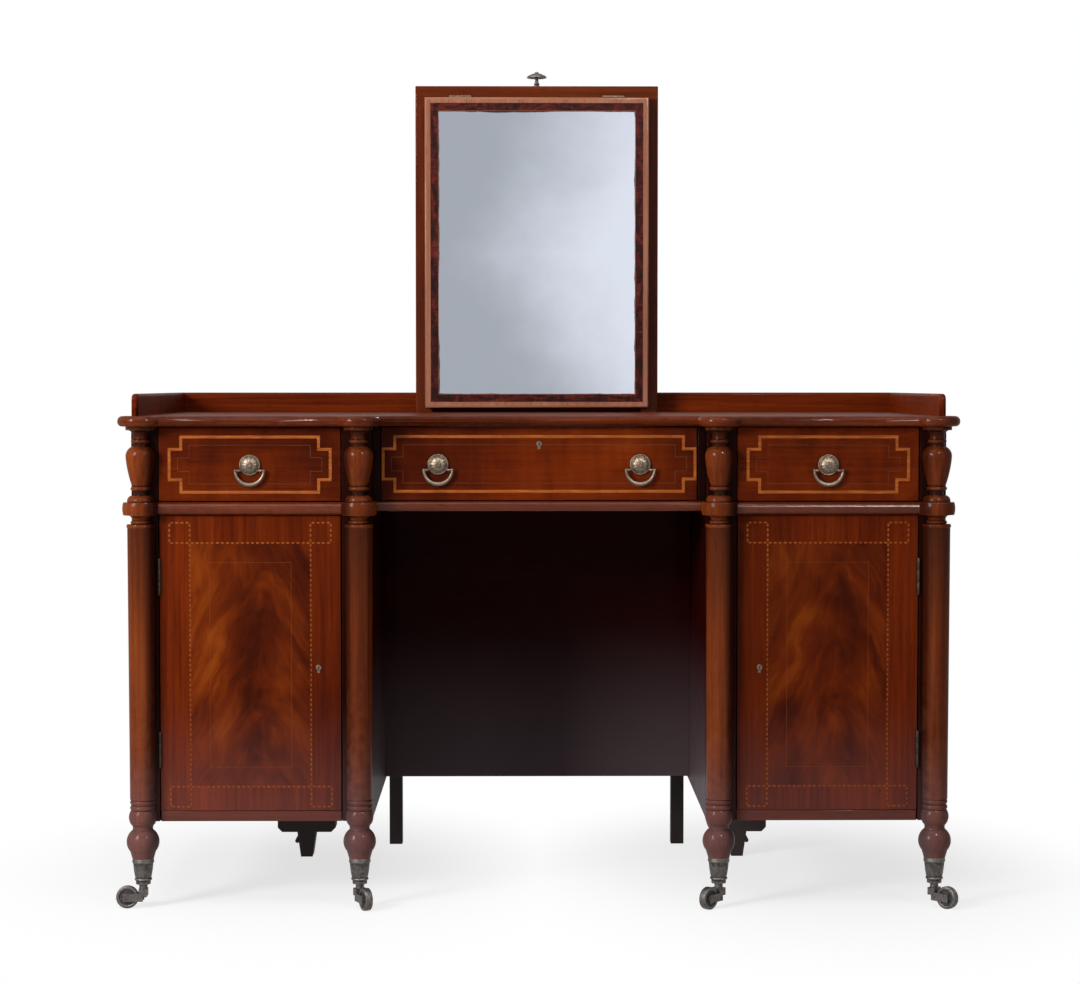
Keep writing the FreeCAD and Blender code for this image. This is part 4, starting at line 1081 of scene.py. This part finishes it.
cups = bmesh.new()
for columnX, columnY in columnPlaces.values():
    outline = cupInside() + cupOutline()
    moveInto(cups, turnedWork(outline, (columnX, columnY, 0), steps=48, ease=0.3, divisions=5))
dressNode("castor_sockets", cups, "castorBrass")
for place in columnPlaces:
    node = f"{place}_castor_wheel"
    roll = jointNamed[f"{place}_wheel_roll"]
    bm = turnedWork(wheelOutline(), (0, 0, 0), steps=56, ease=0.2, divisions=4)
    turn = Vector((0, 0, 1)).rotation_difference(Vector(roll["axis"])).to_matrix()
    bmesh.ops.rotate(bm, verts=bm.verts, cent=(0, 0, 0), matrix=turn)
    bmesh.ops.translate(bm, verts=bm.verts, vec=roll["pos_m"])
    dressNode(node, bm, "castorBrass")
print("castors made")


# Mirror: rising outer frame, tilting inner frame with a rounded edge and rosewood banding, foxed glass

mirror = {"slideRail": 40, "slideEase": 1.6, "member": 25, "roundOuter": 3.6, "edge": 10.5, "bandGap": 0.6,
          "bandProud": 0.2, "bandSunk": 0.8, "glassEase": 0.4, "foxReach": 3.2, "speckReach": 35,
          "foxEdge": (-0.4 * mm, 1.2 * mm), "raggedScale": 34, "biteScale": 9, "speckScale": 520,
          "bloomScale": 5,
          # the last two colours are the dark and bright ends of the glass's painted reflection
          "lost": (0.018, 0.008, 0.007, 1), "hazed": (0.37, 0.40, 0.45, 1), "clear": (0.72, 0.76, 0.86, 1)}


def railsAcross(piece, finish, lowRail, highRail):  # the grain turns where a rail meets a stile
    piece.data.materials.append(finishes[finish])
    for face in piece.data.polygons:
        if not lowRail <= face.center.z <= highRail:
            face.material_index = 1


def makeSlide():
    low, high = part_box("mirror_slide")
    bm = cadCopy("mirror_slide")
    railLow = high[2] - mirror["slideRail"] * mm
    bmesh.ops.bisect_plane(bm, geom=bm.verts[:] + bm.edges[:] + bm.faces[:], plane_co=(0, 0, railLow),
                           plane_no=(0, 0, 1), dist=0.001 * mm)
    roundArrises(bm, sharpEdges(bm, math.radians(60)), mirror["slideEase"] * mm, 3, 0.6)
    railsAcross(dressNode("mirror_slide", bm, "slideUp"), "slideAcross", low[2], railLow)


def makeMirrorFrame():
    low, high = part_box("mirror_frame")
    member, edge = mirror["member"] * mm, mirror["edge"] * mm
    sides = [(axis, corner[axis]) for axis in (0, 2) for corner in (low, high)]
    bm = cadCopy("mirror_frame")
    outer = [e for e in sharpEdges(bm, math.radians(60))
             if allAt(e, 1, low[1]) and any(allAt(e, axis, place) for axis, place in sides)]
    roundArrises(bm, outer, mirror["roundOuter"] * mm, 6, 0.5)
    lowRail, highRail = low[2] + member, high[2] - member
    railsAcross(dressNode("mirror_frame", bm, "frameUp"), "frameAcross", lowRail, highRail)

    left, right, bottom, top = low[0] + edge, high[0] - edge, low[2] + edge, high[2] - edge
    frontY = low[1] - mirror["bandProud"] * mm
    band = bmesh.new()
    corners = ((left, bottom), (right, bottom), (right, top), (left, top))
    outline = band.faces.new([band.verts.new((x, frontY, z)) for x, z in corners])
    depth = (mirror["bandProud"] + mirror["bandSunk"]) * mm
    hollowRing(band, outline, member - edge - mirror["bandGap"] * mm, depth)
    piece = finishPiece("mirrorBanding", band, "rosewoodUp", "mirror", smooth=False)
    railsAcross(piece, "rosewoodAcross", lowRail, highRail)


def makeGlass():
    addFinish("foxedGlass", foxedGlass)
    dressNode("mirror_glass", easedCopy("mirror_glass", mirror["glassEase"], wear=0), "foxedGlass")


def foxedGlass(tree):  # silver lost in a ragged edge with specks; a painted reflection darkens the silver towards the left and towards the top and bottom
    low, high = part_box("mirror_frame")
    member = mirror["member"] * mm
    halfX, halfZ = (high[0] - low[0]) / 2 - member, (high[2] - low[2]) / 2 - member
    x, y, z = tree.axes((0, 0, -(low[2] + high[2]) / 2))
    inset = (abs(x) - halfX).most(abs(z) - halfZ) * -1
    ragged = tree.cloud(mirror["raggedScale"], 4, 0.65) - 0.46
    bites = tree.cloud(mirror["biteScale"], 2) - 0.5
    reach = (ragged * 1.5 + bites * 2.2) * mirror["foxReach"] * mm
    lost = 1 - tree.ease(inset - reach, *mirror["foxEdge"])
    specks = tree.ease(tree.cloud(mirror["speckScale"], 3, 0.6), 0.70, 0.76)
    nearEdge = 1 - tree.ease(inset, 0, mirror["speckReach"] * mm)
    lost = (lost + specks * nearEdge * 0.8).least(1)
    bloom = tree.cloud(mirror["bloomScale"], 4, 0.6)
    paintedReflection = tree.ease(x * 0.9 - abs(z) * 0.35 + z.least(0) * 0.12 + (bloom - 0.5) * 0.16, -0.16, 0.13)
    silver = tree.blend(paintedReflection, mirror["hazed"], mirror["clear"])
    return {
        "Base Color": tree.blend(lost, silver, mirror["lost"]),
        "Metallic": 1 - lost,
        "Roughness": lost * 0.35 + bloom * 0.05 + 0.04,
        "Specular IOR Level": 0.5,
    }


knob = {"stem": 3.4, "cap": 18}


def knobOutline():
    stem, cap = knob["stem"], knob["cap"]
    return [(0, 27.1, 0), (2.2, 26.6, 0.5), (4.0, 24.4, 0), (5.5, 23.6, 0.8), (12.5, 20.6, 0.9),
            (cap, 17.4, 0.4), (cap - 0.6, 15.4, 0), (14.5, 15.6, -1.2), (6.0, 17.2, -1.8), (stem, 12.0, 0),
            (stem, 7.0, 0),
            (4.6, 6.0, 0.8), (4.6, 3.6, 0), (stem, 2.6, 0), (5.6, 1.6, 0.5), (5.6, 0, 0), (0, 0, 0)]


def makeKnob():
    low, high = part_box("lift_knob")
    place = ((low[0] + high[0]) / 2, (low[1] + high[1]) / 2, low[2])
    dressNode("lift_knob", turnedWork(knobOutline(), place, steps=56, ease=0.2, divisions=6), "castorBrass")


makeSlide()
makeMirrorFrame()
makeGlass()
makeKnob()
print("mirror made")


# Stage: pale floor that fades to white round the pedestals' shadows, a white studio and soft lamps

studio = {"floorNear": -3.0, "floorFar": 5.0, "floorSide": 5.0, "fadeStart": 0.12, "fadeEnd": 0.62,
          "shadowX": 0.47, "shadowDeepening": 0.5, "shadowPaleness": 0.72, "fill": 0.07, "aim": (0, 0, 0.6),
          "floorColour": (0.93, 0.93, 0.935, 1)}


def makeFloor():
    near, far = studio["floorNear"], studio["floorFar"]
    bm = bmesh.new()
    bmesh.ops.create_grid(bm, x_segments=1, y_segments=1, size=0.5)
    bmesh.ops.scale(bm, verts=bm.verts, vec=(2 * studio["floorSide"], far - near, 1))
    bmesh.ops.translate(bm, verts=bm.verts, vec=(0, (far + near) / 2, 0))
    mesh = bpy.data.meshes.new("floor")
    bm.to_mesh(mesh)
    bm.free()
    material = bpy.data.materials.new("paleFloor")
    material.use_nodes = True
    tree = Tree(material.node_tree)
    x, y, z = tree.axes()
    distance = ((abs(x) - studio["shadowX"]) ** 2 + y * y * studio["shadowDeepening"]) ** 0.5
    fade = tree.ease(distance, studio["fadeStart"], studio["fadeEnd"], studio["shadowPaleness"], 1)
    seen = tree.seesBackdrop()
    matte = tree.node("ShaderNodeBsdfDiffuse", None, {"Color": studio["floorColour"]})
    white = tree.node("ShaderNodeEmission", None, {"Color": (1, 1, 1, 1), "Strength": 1})
    mixed = tree.node("ShaderNodeMixShader", None, {0: fade * seen, 1: matte, 2: white})
    tree.node("ShaderNodeOutputMaterial", None, {"Surface": mixed})
    mesh.materials.append(material)
    floor = bpy.data.objects.new("floor", mesh)
    bpy.context.scene.collection.objects.link(floor)


def makeWorld():
    world = bpy.data.worlds.new("studio")
    bpy.context.scene.world = world
    world.use_nodes = True
    tree = Tree(world.node_tree)
    white = tree.seesBackdrop()
    light = white + (1 - white) * studio["fill"]
    background = tree.node("ShaderNodeBackground", None, {"Color": (1, 1, 1, 1), "Strength": light})
    tree.node("ShaderNodeOutputWorld", None, {"Surface": background})


lamps = {  # place, size, power, and whether it lights the wood
    "leftSoftbox": ((-2.8, -2.8, 1.9), 1.1, 152, True),
    "rightSoftbox": ((2.3, -2.9, 2.6), 0.4, 12, True),
    "overhead": ((-0.5, -0.9, 3.4), 2.2, 46, True),
    "leftGleam": ((-2.2, -1.9, 2.2), 0.40, 75, False),  # cards that only the polish and the brass show
    "rightGleam": ((0.9, -1.9, 2.2), 0.35, 45, False),
}


def makeLamps():
    for name, (place, size, power, lightsWood) in lamps.items():
        light = bpy.data.lights.new(name, "AREA")
        light.size = size
        light.energy = power
        lamp = bpy.data.objects.new(name, light)
        lamp.visible_diffuse = lightsWood
        lamp.location = place
        towards = Vector(studio["aim"]) - Vector(place)
        lamp.rotation_euler = towards.to_track_quat("-Z", "Y").to_euler()
        bpy.context.scene.collection.objects.link(lamp)


camera = {"place": (-0.0362, -4.3718, 0.8578), "pitch": -0.0431, "yaw": -0.0091,
          "focalPixels": 2517.2, "frameWidth": 1080, "sensor": 36}


def makeCamera():
    data = bpy.data.cameras.new("camera")
    data.sensor_width = camera["sensor"]
    data.sensor_fit = "HORIZONTAL"
    data.lens = camera["focalPixels"] / camera["frameWidth"] * data.sensor_width
    seer = bpy.data.objects.new("camera", data)
    seer.location = camera["place"]
    seer.rotation_euler = (math.pi / 2 + camera["pitch"], 0, camera["yaw"])
    bpy.context.scene.collection.objects.link(seer)
    bpy.context.scene.camera = seer


makeFloor()
makeWorld()
makeLamps()
makeCamera()
bpy.context.scene.view_settings.view_transform = "Standard"
print("stage set")
